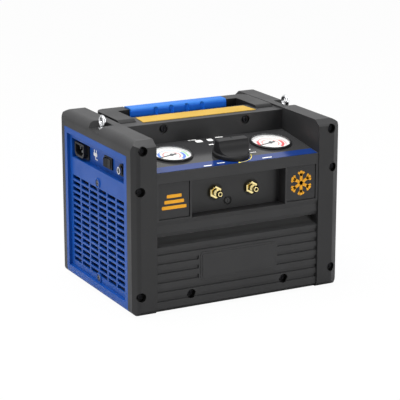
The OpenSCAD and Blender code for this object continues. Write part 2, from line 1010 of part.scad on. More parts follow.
module right_side_panel() {
    color(panel_blue)
        mirror([1, 0, 0])
            panel_blank();
}

// Base tray with a bent-up lip on each side and a tab that takes the upper panel screw
module base_tray() {
    lip_x = side_x - slab_t;
    tab_z = max(panel_screw_zs) + 10;
    color(steel)
        difference() {
            union() {
                span([-lip_x, lip_x], [sill_back_y + part_gap, rear_sill_y - part_gap], [wall, tray_z]);
                both_sides() {
                    span([lip_x - tray_t, lip_x], [panel_y0 + border_w, panel_y1 - border_w],
                        [wall, wall + tray_lip_h]);
                    span([lip_x - tray_t, lip_x], [panel_yc - tray_tab_w / 2, panel_yc + tray_tab_w / 2],
                        [wall, tab_z]);
                }
            }
            both_sides()
                for (z = panel_screw_zs)
                    rod_x([lip_x - tray_t - over, panel_yc, z], shank_d + 2 * fit_gap, tray_t + 2 * over);
        }
}

module rubber_feet() {
    color(black)
        both_sides()
            for (y = foot_ys)
                translate([foot_x, y, -foot_h])
                    rotate_extrude()
                        polygon([
                            [0, 0], [foot_d / 2 - 2, 0], [foot_d / 2, 2],
                            [foot_d / 2, foot_h + wall], [0, foot_h + wall]
                        ]);
}

// A screw with a domed head and a cross slot; the head's seat is at the origin and the shank runs along +Z
module screw(d, h, shank, length) {
    difference() {
        union() {
            translate([0, 0, -h])
                rotate_extrude()
                    polygon([[0, 0], [d / 2 - 1, 0], [d / 2, 1], [d / 2, h], [0, h]]);
            cylinder(d = shank, h = length);
        }
        for (turn = [0, 90])
            rotate([0, 0, turn])
                translate([-d * 0.3, -d * 0.06, -h - over])
                    cube([d * 0.6, d * 0.12, h / 2 + over]);
    }
}

// Screws of a wall at depth y, pointing into the machine
module wall_screws(places, y) {
    for (p = places)
        both_sides()
            translate([p[0], y + hole_depth, p[1]])
                rotate([-90, 0, 0])
                    screw(head_d, head_h, shank_d, boss_floor + 8);
}

module front_screws() {
    color(black) {
        wall_screws(post_screws, front_y);
        wall_screws([sill_screw], field_y);
    }
}

module rear_screws() {
    color(black)
        mirror([0, 1, 0])
            wall_screws(rear_post_screws, front_y);
}

module deck_screws() {
    color(black)
        both_sides()
            translate([deck_screw_x, well_back_y + head_h, deck_screw_z])
                rotate([-90, 0, 0])
                    screw(head_d, head_h, shank_d, well_back_t + wall + 3);
}

module side_panel_screws() {
    color(steel)
        both_sides()
            for (z = panel_screw_zs)
                translate([field_x - 1.5 + head_h, panel_yc, z])
                    rotate([0, 90, 0])
                        screw(head_d, head_h, shank_d, grille_t + tray_t + 3);
}

module port_screw() {
    color(black)
        translate([port_screw_x, recess_back_y + port_seat, port_screw_z])
            rotate([-90, 0, 0])
                screw(head_d, 2, shank_d, port_screw_l - port_seat);
}

// Forged eye on a collar, with a stud through the notch's floor
module eye_bolt() {
    difference() {
        union() {
            translate([eye_x, eye_y, eye_z])
                rotate([0, 90, 0])
                    rotate_extrude()
                        translate([eye_r, 0])
                            circle(eye_rod_r);
            translate([eye_x, eye_y, notch_z])
                cylinder(r = eye_collar_r, h = eye_collar_h);
            translate([eye_x, eye_y, notch_z])
                cylinder(r = eye_rod_r + 0.9, h = eye_z - eye_r - notch_z);
            translate([eye_x, eye_y, notch_z - 2 * wall - 3])
                cylinder(d = shank_d + 2, h = 2 * wall + 3);
        }
        rod_x([eye_x - 2 * eye_rod_r, eye_y, eye_z], 2 * eye_bore_r, 4 * eye_rod_r);
    }
}

module eye_bolts() {
    color(steel)
        both_sides()
            eye_bolt();
}

// Printed sheet over the control panel, with openings for the gauges and the spindle
module control_overlay() {
    deep = (well_back_y - front_y - fascia_recess) / cos(panel_tilt);
    margin = 1.5;
    color("#4a4a4a")
        difference() {
            on_panel(0, front_y + fascia_recess)
                translate([-post_x + margin, margin, 0])
                    cube([2 * (post_x - margin), deep - 2 * margin, overlay_t]);
            panel_cuts();
        }
}

// Gauge cup with its bezel, lens seat, dial seat and rear stem
module gauge_case() {
    top = overlay_t + bezel_rise;
    floor_z = dial_top - dial_t;
    difference() {
        rotate_extrude()
            polygon([
                [0, -gauge_depth], [case_r - 3, -gauge_depth], [case_r, 3 - gauge_depth],
                [case_r, overlay_t], [bezel_r, overlay_t], [bezel_r, top - 1.2], [bezel_r - 1.2, top],
                [lens_r + fit_gap, top], [lens_r + fit_gap, lens_low], [dial_r + fit_gap, lens_low],
                [dial_r + fit_gap, floor_z], [0, floor_z]
            ]);
        translate([0, 0, floor_z - 8])
            cylinder(d = needle_post_d + 2 * fit_gap, h = 8 + over);
    }
    translate([0, 0, -gauge_depth - stem_l])
        cylinder(d = stem_d, h = stem_l + over);
}

// Dial with a rim that reaches up to the lens
module gauge_dial() {
    low = dial_top - dial_t;
    difference() {
        translate([0, 0, low])
            cylinder(r = dial_r, h = lens_low - part_gap - low);
        translate([0, 0, dial_top])
            cylinder(r = dial_r - dial_rim, h = gauge_depth);
        translate([0, 0, low - over])
            cylinder(d = needle_post_d + 2 * fit_gap, h = dial_t + 2 * over);
    }
}

// Needle at zero, with a long tip, a short wide tail, a hub and its post
module gauge_needle() {
    zero = 90 + needle_sweep / 2 - scale_turn;
    lift = dial_top + part_gap;
    tip = dial_r * 0.74;
    tail = dial_r * 0.3;
    translate([0, 0, lift]) {
        cylinder(r = 3, h = 1.4);
        rotate([0, 0, zero])
            linear_extrude(0.8)
                polygon([[-tail, -1.9], [-tail, 1.9], [0, 1], [tip, 0.35], [tip, -0.35], [0, -1]]);
    }
    translate([0, 0, dial_top - dial_t - 7])
        cylinder(d = needle_post_d, h = dial_t + 7 + part_gap + 0.5);
}

module gauge_lens() {
    translate([0, 0, lens_low])
        cylinder(r = lens_r, h = lens_t);
}

// Knob turned from a flanged blank, with a hollow on each side that leaves a grip across it
module selector_knob() {
    hollow_r = knob_h - knob_flange_h;
    taper = 2.5;
    color(black)
        on_panel(panel_x, knob_y)
            translate([0, 0, overlay_t + part_gap])
                difference() {
                    rotate_extrude()
                        polygon([
                            [0, 0], [knob_r, 0], [knob_r, knob_flange_h - 2],
                            [knob_r - 1.6, knob_flange_h], [knob_r - taper, knob_h - 1.5],
                            [knob_r - taper - 1.5, knob_h], [0, knob_h]
                        ]);
                    for (s = [-1, 1])
                        translate([-knob_r - over, s * (knob_grip_t / 2 + hollow_r), knob_h])
                            rotate([0, 90, 0])
                                cylinder(r = hollow_r, h = 2 * (knob_r + over));
                    translate([-1.2, knob_grip_t / 2 - 5, knob_h - 1])
                        cube([2.4, 5 + over, 1 + over]);
                    translate([0, 0, -over])
                        cylinder(d = spindle_d + 2 * fit_gap, h = knob_h / 2 + over);
                }
}

module valve_spindle() {
    inside = overlay_t + part_gap + knob_h / 2;
    color(steel)
        on_panel(panel_x, knob_y)
            translate([0, 0, inside - spindle_l])
                cylinder(d = spindle_d, h = spindle_l);
}

// Block behind the port recess, drilled for the ports and the spindle
module valve_manifold() {
    color("#9a9da1")
        difference() {
            span([-manifold_half, manifold_half], [port_wall_y, port_wall_y + manifold_d],
                [manifold_low, manifold_top]);
            both_sides()
                rod_y([port_x, port_wall_y - over, port_z], port_stub_d + 2 * fit_gap, port_stub_l + over);
            rod_y([port_screw_x, port_wall_y - over, port_screw_z], shank_d + 2 * fit_gap, port_screw_l - wall + over);
            on_panel(panel_x, knob_y)
                translate([0, 0, overlay_t + part_gap + knob_h / 2 - spindle_l - fit_gap])
                    cylinder(d = spindle_d + 2 * fit_gap, h = spindle_l);
        }
}

port_body_d = 12;
port_stub_d = 9;
port_stub_l = 12;
port_hex_t = 5;
port_neck_l = 1.5;
port_nose_l = 3;

// Flare fitting: hexagon, thread, 45 degree nose and a stub into the manifold, bored through
module flare_fitting(x) {
    translate([x, recess_back_y, port_z])
        rotate([90, 0, 0])
            difference() {
                union() {
                    translate([0, 0, -wall])
                        cylinder(d = port_body_d, h = wall + 1);
                    translate([0, 0, -port_seat])
                        cylinder(d = port_hex_af / cos(30), h = port_seat + port_hex_t, $fn = 6);
                    cylinder(d = port_thread_d - 2, h = port_hex_t + port_neck_l + 1);
                    translate([0, 0, port_hex_t + port_neck_l])
                        cylinder(d = port_thread_d, h = port_thread_l);
                    translate([0, 0, port_hex_t + port_neck_l + port_thread_l])
                        cylinder(d1 = port_thread_d - 1, d2 = port_thread_d - 4, h = port_nose_l);
                    translate([0, 0, -wall - port_stub_l + part_gap])
                        cylinder(d = port_stub_d, h = port_stub_l);
                }
                translate([0, 0, -wall - port_stub_l - over])
                    cylinder(d = port_bore_d, h = 60);
            }
}

// Outline of the mains inlet with its two lower corners cut, grown by g
module inlet_outline(g) {
    w = inlet_w / 2 + g;
    h = inlet_h / 2 + g;
    polygon([
        [-w, h], [w, h], [w, -h + inlet_cut], [w - inlet_cut, -h], [-w + inlet_cut, -h], [-w, -h + inlet_cut]
    ]);
}

module power_inlet() {
    color(black)
        in_pocket(panel_yc + device_y)
            difference() {
                union() {
                    linear_extrude(inlet_flange_t)
                        round_rect(inlet_flange_w, inlet_flange_h, 4);
                    translate([0, 0, -inlet_in])
                        linear_extrude(inlet_in + inlet_out)
                            inlet_outline(0);
                }
                translate([0, 0, 3 - inlet_in])
                    linear_extrude(inlet_in + inlet_out)
                        inlet_outline(-inlet_rim);
                for (p = [-1, 0, 1])
                    translate([p * blade_pitch, p == 0 ? -3 : 2, -inlet_in])
                        cube([blade_t + 2 * fit_gap, blade_w + 2 * fit_gap, 10], center = true);
            }
}

// Three flat blades, each running out at the back as a terminal
module inlet_pins() {
    color(steel)
        in_pocket(panel_yc + device_y)
            for (p = [-1, 0, 1])
                translate([p * blade_pitch - blade_t / 2, (p == 0 ? -3 : 2) - blade_w / 2, -inlet_in - 8])
                    cube([blade_t, blade_w, inlet_in + 8 + inlet_out - 5]);
}

module switch_body() {
    color(black)
        in_pocket(panel_yc - switch_y)
            difference() {
                union() {
                    translate([0, 0, switch_t / 2])
                        cube([switch_w, switch_h, switch_t], center = true);
                    translate([0, 0, -switch_in / 2])
                        cube([switch_w - 4, switch_h - 2.6, switch_in], center = true);
                }
                cube([2 * rocker_r + 2 * part_gap, rocker_h + 2 * part_gap, 2 * rocker_r], center = true);
                rotate([90, 0, 0])
                    cylinder(d = axle_d + 2 * fit_gap, h = axle_l + 2 * fit_gap, center = true);
            }
}

// Rocker with a shallow valley, tilted to its off side, on an axle across it
module switch_rocker() {
    rise = rocker_r * tan(rocker_swing / 2);
    color("#2a2a2b")
        in_pocket(panel_yc - switch_y)
            rotate([0, rocker_swing / 2, 0]) {
                rotate([90, 0, 0])
                    linear_extrude(rocker_h, center = true)
                        intersection() {
                            circle(rocker_r);
                            polygon([
                                [-rocker_r, -4], [rocker_r, -4], [rocker_r, 3.4 + rise], [0, 3.4],
                                [-rocker_r, 3.4 + rise]
                            ]);
                        }
                rotate([90, 0, 0])
                    cylinder(d = axle_d, h = axle_l, center = true);
            }
}

// Threaded bush with its nut, and the case behind the pocket's floor
module breaker_body() {
    color(black)
        in_pocket(panel_yc - device_y)
            difference() {
                union() {
                    cylinder(d = nut_d, h = nut_t, $fn = 6);
                    translate([0, 0, -wall])
                        cylinder(d = bush_d, h = wall + bush_out);
                    translate([0, 0, -wall - breaker_in / 2])
                        cube([18, 26, breaker_in], center = true);
                }
                translate([0, 0, -wall - 2])
                    cylinder(d = button_d + 2 * fit_gap, h = wall + bush_out + 3);
            }
}

// Push button with a hollow face
module breaker_button() {
    low = -wall - 2 + button_travel + part_gap;
    color("#d8d8d6")
        in_pocket(panel_yc - device_y)
            difference() {
                translate([0, 0, low])
                    cylinder(d = button_d, h = bush_out + button_out - low);
                translate([0, 0, bush_out + button_out - 1])
                    cylinder(d = button_d - 3, h = 2);
            }
}

// U-shaped handle: two arms with round knuckles, joined by a bar that the grip covers
module handle_frame() {
    corner = 16;
    inner_y = grip_y - bar_d / 2 - 2;
    color(black)
        difference() {
            union() {
                both_sides() {
                    translate([0, 0, arm_low_z])
                        linear_extrude(arm_top_z - arm_low_z)
                            difference() {
                                union() {
                                    translate([arm_x0, pivot_y])
                                        square([arm_w, arm_reach - corner]);
                                    translate([0, inner_y])
                                        square([arm_x1 - corner, arm_back_y - inner_y]);
                                    translate([arm_x1 - corner, arm_back_y - corner])
                                        circle(corner);
                                }
                                translate([-over, inner_y - over])
                                    square([grip_w / 2 + over, body_d]);
                            }
                    rod_x([arm_x0, pivot_y, pivot_z], 2 * knuckle_r, arm_w);
                }
                span([-grip_w / 2 - over, grip_w / 2 + over], [grip_y - bar_d / 2, grip_y + bar_d / 2],
                    [grip_z - bar_h / 2, grip_z + bar_h / 2]);
            }
            both_sides()
                rod_x([arm_x0 - over, pivot_y, pivot_z], pin_d + 2 * fit_gap, arm_w + 2 * over);
        }
}

// Soft grip moulded round the bar, with finger notches along its front
module handle_grip() {
    finger_r = 5;
    finger_pitch = 27;
    finger_bite = 2.2;
    color(grip_blue)
        difference() {
            along_x(-grip_w / 2 + part_gap, grip_w / 2 - part_gap)
                translate([grip_y, grip_z])
                    round_rect(grip_d, grip_h, 5);
            span([-grip_w, grip_w], [grip_y - bar_d / 2 - fit_gap, grip_y + bar_d / 2 + fit_gap],
                [grip_z - bar_h / 2 - fit_gap, grip_z + bar_h / 2 + fit_gap]);
            for (i = [-1.5:1.5])
                translate([i * finger_pitch, grip_y - grip_d / 2 - finger_r + finger_bite, grip_z - grip_h])
                    cylinder(r = finger_r, h = 2 * grip_h);
        }
}

module handle_pins() {
    color(steel)
        both_sides()
            rod_x([slot_x0 - wall, pivot_y, pivot_z], pin_d, post_x + wall - slot_x0 + wall);
}

// Bare plate on the deck between the handle's arms
module deck_plate() {
    half = slot_x0 - 7;
    taper = 4;
    plate_in = 9;
    color("#f0c35a")
        translate([0, 0, deck_z])
            linear_extrude(0.8)
                polygon([
                    [-half, seam_y + plate_in], [half, seam_y + plate_in],
                    [half - taper, deck_back_y - 6], [-half + taper, deck_back_y - 6]
                ]);
}

// Crankcase on its pedestal, with a blind bore for the shaft
module crankcase() {
    half = 41;
    color("#8d9094")
        difference() {
            union() {
                along_x(crank_x, crank_x + crank_l)
                    translate([axis_y, axis_z])
                        round_rect(2 * crank_half, 2 * half, 12);
                span([crank_x + 8, crank_x + crank_l - 8], [axis_y - 30, axis_y + 30], [plate_top, axis_z - half + 4]);
            }
            rod_x([crank_x - over, axis_y, axis_z], shaft_d + 2 * fit_gap, crank_l * 0.6 + over);
        }
}

// Finned barrel and head on one side of the crankcase
module cylinder_unit(s) {
    ring_count = 5;
    ring_t = 2.4;
    color("#a4a7aa")
        translate([crank_mid, axis_y, axis_z])
            rotate([s * -90, 0, 0])
                translate([0, 0, crank_half]) {
                    cylinder(d = 1.5 * cyl_head_half, h = barrel_l + 1);
                    for (i = [1:ring_count])
                        translate([0, 0, i * barrel_l / (ring_count + 1) - ring_t / 2])
                            linear_extrude(ring_t)
                                round_rect(2 * cyl_head_half - 4, 2 * cyl_head_half - 4, 8);
                    translate([0, 0, barrel_l])
                        linear_extrude(cyl_head_t)
                            round_rect(2 * cyl_head_half, 2 * cyl_head_half, 6);
                }
}

// Ribbed motor on a saddle, bored for the shaft with a bearing seat at each end
module motor_body() {
    rib_count = 20;
    color("#55585c")
        difference() {
            union() {
                rod_x([motor_x, axis_y, axis_z], 2 * motor_r - 6, motor_l);
                translate([motor_x + 10, axis_y, axis_z])
                    rotate([0, 90, 0])
                        for (i = [0:rib_count - 1])
                            rotate([0, 0, i * 360 / rib_count])
                                translate([0, -1.2, 0])
                                    cube([motor_r, 2.4, motor_l - 20]);
                span([motor_x + 14, motor_x + motor_l - 14], [axis_y - 24, axis_y + 24],
                    [plate_top, axis_z - motor_r + 14]);
            }
            rod_x([motor_x - over, axis_y, axis_z], shaft_d + 2, motor_l + 2 * over);
            for (x = [motor_x - over, motor_x + motor_l - bearing_w])
                rod_x([x, axis_y, axis_z], 2 * bearing_r + 2 * fit_gap, bearing_w + over);
        }
}

module shaft_bearings() {
    color(steel)
        for (x = [motor_x, motor_x + motor_l - bearing_w])
            difference() {
                rod_x([x, axis_y, axis_z], 2 * bearing_r, bearing_w);
                rod_x([x - over, axis_y, axis_z], shaft_d + 2 * fit_gap, bearing_w + 2 * over);
            }
}

module drive_shaft() {
    start = fan_x - fan_l / 2;
    color(steel)
        rod_x([start, axis_y, axis_z], shaft_d, crank_x + crank_l * 0.6 - part_gap - start);
}

// Hub with pitched blades cut to the fan's circle
module cooling_fan() {
    hub_r = 20;
    pitch = 38;
    blade = 2;
    color(black)
        translate([fan_x, axis_y, axis_z])
            rotate([0, 90, 0])
                difference() {
                    union() {
                        cylinder(r = hub_r, h = fan_l, center = true);
                        intersection() {
                            cylinder(r = fan_r, h = fan_l - 2, center = true);
                            for (i = [0:blade_count - 1])
                                rotate([0, 0, i * 360 / blade_count])
                                    translate([hub_r - 3, 0, 0])
                                        rotate([pitch, 0, 0])
                                            translate([0, -fan_l, -blade / 2])
                                                cube([fan_r, 2 * fan_l, blade]);
                        }
                    }
                    cylinder(d = shaft_d + 2 * fit_gap, h = fan_l + 2 * over, center = true);
                }
}

// Plate with a collar round the fan, standing on the tray
module fan_shroud() {
    tip_gap = 3;
    collar = 2.5;
    color(black)
        difference() {
            union() {
                span([shroud_x, shroud_x + shroud_t], [axis_y - coil_half, axis_y + coil_half],
                    [tray_z, coil_z1]);
                rod_x([shroud_x, axis_y, axis_z], 2 * (fan_r + tip_gap + collar), shroud_t + 20);
            }
            rod_x([shroud_x - over, axis_y, axis_z], 2 * (fan_r + tip_gap), shroud_t + 20 + 2 * over);
        }
}

// Places of the condenser's tube rows, drilled through a fin drawn in X and Z
module tube_holes() {
    for (i = [0:tube_rows - 1])
        translate([coil_x, tube_z0 + i * tube_pitch])
            circle(d = pipe_d + 2 * fit_gap);
}

// Thin fins between two end plates that stand on the tray
module condenser_fins() {
    pitch = 2 * coil_half / (fin_count + 1);
    color("#6d6f70") {
        for (i = [1:fin_count])
            along_y(axis_y - coil_half + i * pitch - fin_t / 2, axis_y - coil_half + i * pitch + fin_t / 2)
                difference() {
                    translate([coil_x - coil_t / 2, coil_z0])
                        square([coil_t, coil_z1 - coil_z0]);
                    tube_holes();
                }
        for (y = [axis_y - coil_half, axis_y + coil_half - end_plate_t])
            along_y(y, y + end_plate_t)
                difference() {
                    translate([coil_x - coil_t / 2, tray_z])
                        square([coil_t, coil_z1 - tray_z]);
                    tube_holes();
                }
    }
}

// One serpentine tube, entering and leaving at the rear
module condenser_tubes() {
    y0 = axis_y - coil_half - tube_out;
    y1 = axis_y + coil_half + tube_out;
    color(copper) {
        for (i = [0:tube_rows - 1])
            rod_y([coil_x, y0, tube_z0 + i * tube_pitch], pipe_d, y1 - y0);
        for (i = [0:tube_rows - 2])
            translate([coil_x, i % 2 == 0 ? y0 : y1, tube_z0 + (i + 0.5) * tube_pitch])
                rotate([0, 90, 0])
                    rotate([0, 0, i % 2 == 0 ? 180 : 0])
                        rotate_extrude(angle = 180)
                            translate([tube_pitch / 2, 0])
                                circle(d = pipe_d);
    }
}

// Straight drop from the manifold's underside to the front cylinder head
module suction_pipe() {
    x = crank_mid - cyl_head_half + 14;
    y = port_wall_y + manifold_d - manifold_land / 2;
    color(copper)
        bar_between([x, y, axis_z + cyl_head_half], [x, y, manifold_low], pipe_d);
}

module discharge_pipe() {
    y0 = axis_y + head_mid;
    y1 = axis_y + coil_half + tube_out;
    y2 = back_y - rear_wall_t - pipe_d;
    z = tube_top_z + discharge_rise;
    color(copper)
        bent_pipe([
            [crank_mid, y0, axis_z + cyl_head_half], [crank_mid, y0, z], [crank_mid, y2, z],
            [coil_x, y2, z], [coil_x, y2, tube_top_z], [coil_x, y1, tube_top_z]
        ], pipe_d, pipe_bend);
}

module liquid_pipe() {
    x = crank_x + crank_l + liquid_gap;
    y1 = axis_y + coil_half + tube_out;
    y2 = back_y - rear_wall_t - pipe_d;
    color(copper)
        bent_pipe([
            [coil_x, y1, tube_z0], [coil_x, y2, tube_z0], [x, y2, tube_z0],
            [x, manifold_y, tube_z0], [x, manifold_y, port_z], [manifold_half, manifold_y, port_z]
        ], pipe_d, pipe_bend);
}

// Thin line from under a gauge's stem to the back of the manifold
module gauge_line(s) {
    off = [0, sin(panel_tilt), -cos(panel_tilt)];
    stem_end = [panel_x + s * gauge_x, gauge_y, panel_z(gauge_y)] + off * (gauge_depth + stem_l);
    start = stem_end - [0, 0, line_d / 2 * tan(panel_tilt) + fit_gap];
    low = start - [0, 0, line_drop];
    x = s * (manifold_half - line_in);
    y = port_wall_y + manifold_d;
    back = max(y, low[1]) + line_run;
    bent_pipe([
        start, low, [low[0], back, low[2]], [x, back, low[2]], [x, y, low[2]]
    ], line_d, line_bend);
}

module gauge_lines() {
    color(copper)
        for (s = [-1, 1])
            gauge_line(s);
}

module pressure_switch() {
    color("#9c7b3a")
        translate([-manifold_half, manifold_y, port_z])
            rotate([0, -90, 0]) {
                cylinder(d = 14, h = 6, $fn = 6);
                translate([0, 0, 6])
                    cylinder(d = 20, h = 12);
                for (s = [-1, 1])
                    translate([s * 4 - 3, -0.4, 17])
                        cube([6, 0.8, 9]);
            }
}

module control_board() {
    color("#2c6b46")
        translate([-board_half_x, board_y0, board_top - board_t])
            cube([2 * board_half_x, board_y1 - board_y0, board_t]);
}

// Capacitors and a finned heat sink under the board
module board_parts() {
    low = board_top - board_t;
    y = board_y0 + sink_in;
    color("#777a7d") {
        for (x = [-2 * cap_pitch, -cap_pitch])
            translate([x, y + cap_d / 2, low - cap_h])
                cylinder(d = cap_d, h = cap_h);
        translate([sink_x, y, low - sink_t])
            cube([sink_w, sink_d, sink_t]);
        for (i = [0:sink_fins - 1])
            translate([sink_x + i * (sink_w - sink_fin_t) / (sink_fins - 1), y, low - cap_h])
                cube([sink_fin_t, sink_d, cap_h - sink_t / 2]);
    }
}

module rubber_isolators() {
    color(black)
        for (x = [motor_x + isolator_in, crank_x + crank_l - isolator_in], s = [-1, 1])
            translate([x, axis_y + s * isolator_y, tray_z])
                cylinder(d = isolator_d, h = isolator_h);
}

module mounting_plate() {
    color(steel)
        span([motor_x, crank_x + crank_l], [axis_y - plate_half, axis_y + plate_half], [plate_z, plate_top]);
}

on_feet() front_housing();
on_feet() rear_housing();
on_feet() left_side_panel();
on_feet() right_side_panel();
on_feet() base_tray();
on_feet() rubber_feet();
on_feet() front_screws();
on_feet() rear_screws();
on_feet() deck_screws();
on_feet() side_panel_screws();
on_feet() port_screw();
on_feet() eye_bolts();
on_feet() control_overlay();
on_feet() color(black) on_panel(panel_x - gauge_x, gauge_y) gauge_case();  // low_gauge_case
on_feet() color("white") on_panel(panel_x - gauge_x, gauge_y) gauge_dial();  // low_gauge_dial
on_feet() color(black) on_panel(panel_x - gauge_x, gauge_y) gauge_needle();  // low_gauge_needle
on_feet() color("#ddeeff40") on_panel(panel_x - gauge_x, gauge_y) gauge_lens();  // low_gauge_lens
on_feet() color(black) on_panel(panel_x + gauge_x, gauge_y) gauge_case();  // high_gauge_case
on_feet() color("white") on_panel(panel_x + gauge_x, gauge_y) gauge_dial();  // high_gauge_dial
on_feet() color(black) on_panel(panel_x + gauge_x, gauge_y) gauge_needle();  // high_gauge_needle
on_feet() color("#ddeeff40") on_panel(panel_x + gauge_x, gauge_y) gauge_lens();  // high_gauge_lens
on_feet() selector_knob();
on_feet() valve_spindle();
on_feet() valve_manifold();
on_feet() color(brass) flare_fitting(-port_x);  // inlet_fitting
on_feet() color(brass) flare_fitting(port_x);  // outlet_fitting
on_feet() power_inlet();
on_feet() inlet_pins();
on_feet() switch_body();
on_feet() switch_rocker();
on_feet() breaker_body();
on_feet() breaker_button();
on_feet() handle_frame();
on_feet() handle_grip();
on_feet() handle_pins();
on_feet() deck_plate();
on_feet() crankcase();
on_feet() cylinder_unit(-1);  // front_cylinder
on_feet() cylinder_unit(1);  // rear_cylinder
on_feet() motor_body();
on_feet() drive_shaft();
on_feet() shaft_bearings();
on_feet() cooling_fan();
on_feet() fan_shroud();
on_feet() condenser_fins();
on_feet() condenser_tubes();
on_feet() suction_pipe();
on_feet() discharge_pipe();
on_feet() liquid_pipe();
on_feet() gauge_lines();
on_feet() pressure_switch();
on_feet() control_board();
on_feet() board_parts();
on_feet() rubber_isolators();
on_feet() mounting_plate();
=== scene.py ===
"""Looks of a portable refrigerant recovery machine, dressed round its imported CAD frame."""

import logging
import math
from dataclasses import dataclass
from enum import Enum
from typing import ClassVar, Optional, Sequence, Union

import bpy
from mathutils import Matrix, Vector


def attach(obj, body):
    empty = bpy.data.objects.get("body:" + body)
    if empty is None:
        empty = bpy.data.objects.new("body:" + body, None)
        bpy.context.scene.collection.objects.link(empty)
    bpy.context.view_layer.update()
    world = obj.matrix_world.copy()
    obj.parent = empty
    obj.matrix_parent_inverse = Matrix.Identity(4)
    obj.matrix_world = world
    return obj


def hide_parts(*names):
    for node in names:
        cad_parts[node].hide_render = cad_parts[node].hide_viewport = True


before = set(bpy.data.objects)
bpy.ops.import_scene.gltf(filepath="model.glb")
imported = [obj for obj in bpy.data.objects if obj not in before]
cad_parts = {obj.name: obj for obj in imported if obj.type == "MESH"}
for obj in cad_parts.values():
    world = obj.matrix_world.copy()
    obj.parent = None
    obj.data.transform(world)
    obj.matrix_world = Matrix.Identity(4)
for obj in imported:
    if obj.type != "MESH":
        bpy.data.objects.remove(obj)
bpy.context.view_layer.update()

LOG = logging.getLogger("recovery_machine")
MM = 0.001
MACHINE = "machine"
QUARTER_TURN = 90.0
FULL_TURN = 360.0

# Places in millimetres; heights count from the casing's underside, which stands on the feet
FOOT = 4.0
FRONT_Y = -132.5
RECESS_Y = -110.5
DECK_WALL_Y = -21.5
PORT_X = 30.5
PORT_Z = 168.0
WELL_R = 7.0
SEAT_R = 12.7
INK = 0.06

# Mean of a noise, which a roughness swings about
NOISE_MEAN = 0.5

Rgb = tuple[int, int, int]
Span = tuple[float, float]
Point = tuple[float, float, float]
Quad = tuple[float, float, float, float]
Number = Union[float, "Value"]
Place = tuple["Value", "Value", "Value"]
Socket = bpy.types.NodeSocket
Piece = bpy.types.Object
Material = bpy.types.Material


def linear(colour: Rgb) -> Quad:
    """Turn a screen colour into the linear one that a shader takes.

    Args:
        colour: Red, green and blue from 0 to 255.

    Returns:
        Linear red, green, blue and an alpha of 1.
    """
    parts = []
    for channel in colour:
        c = channel / 255
        parts.append(c / 12.92 if c <= 0.04045 else ((c + 0.055) / 1.055) ** 2.4)
    return (parts[0], parts[1], parts[2], 1.0)


def toned(colour: Quad, gain: float, lift: float = 0.0) -> Quad:
    """Make a linear colour lighter or darker by a gain and a lift."""
    return tuple(min(1.0, c * gain + lift) for c in colour[:3]) + (1.0,)


def shift(x: float, y: float, z: float) -> Matrix:
    """Give a move in millimetres, as a matrix in metres."""
    return Matrix.Translation(Vector((x, y, z)) * MM)


def spin(degrees: float, axis: str) -> Matrix:
    """Give a turn about an axis."""
    return Matrix.Rotation(math.radians(degrees), 4, axis)


def front(x: float, y: float, z: float) -> Matrix:
    """Give a frame on the casing's front, with its Z axis towards the viewer."""
    return shift(x, y, z + FOOT) @ spin(QUARTER_TURN, "X")


class Value:
    """A number in a shader graph that works in Python expressions."""

    def __init__(self, graph: "Graph", socket: Socket) -> None:
        """Wrap one output socket of a graph."""
        self.graph = graph
        self.socket = socket

    def __add__(self, other: Number) -> "Value":
        """Add."""
        return self.graph.math("ADD", self, other)

    def __radd__(self, other: Number) -> "Value":
        """Add to a number."""
        return self.graph.math("ADD", other, self)

    def __sub__(self, other: Number) -> "Value":
        """Subtract."""
        return self.graph.math("SUBTRACT", self, other)

    def __rsub__(self, other: Number) -> "Value":
        """Subtract from a number."""
        return self.graph.math("SUBTRACT", other, self)

    def __mul__(self, other: Number) -> "Value":
        """Multiply."""
        return self.graph.math("MULTIPLY", self, other)

    def __abs__(self) -> "Value":
        """Size without sign."""
        return self.graph.math("ABSOLUTE", self)

    def over(self, edge: float, soft: float) -> "Value":
        """Give a mask that rises from 0 to 1 round an edge, over a width of soft."""
        return self.graph.ramp(self, edge - soft / 2, edge + soft / 2)

    def within(self, low: float, high: float, soft: float) -> "Value":
        """Give a mask that is 1 between two edges, each soft wide."""
        return self.over(low, soft) * (1 - self.over(high, soft))


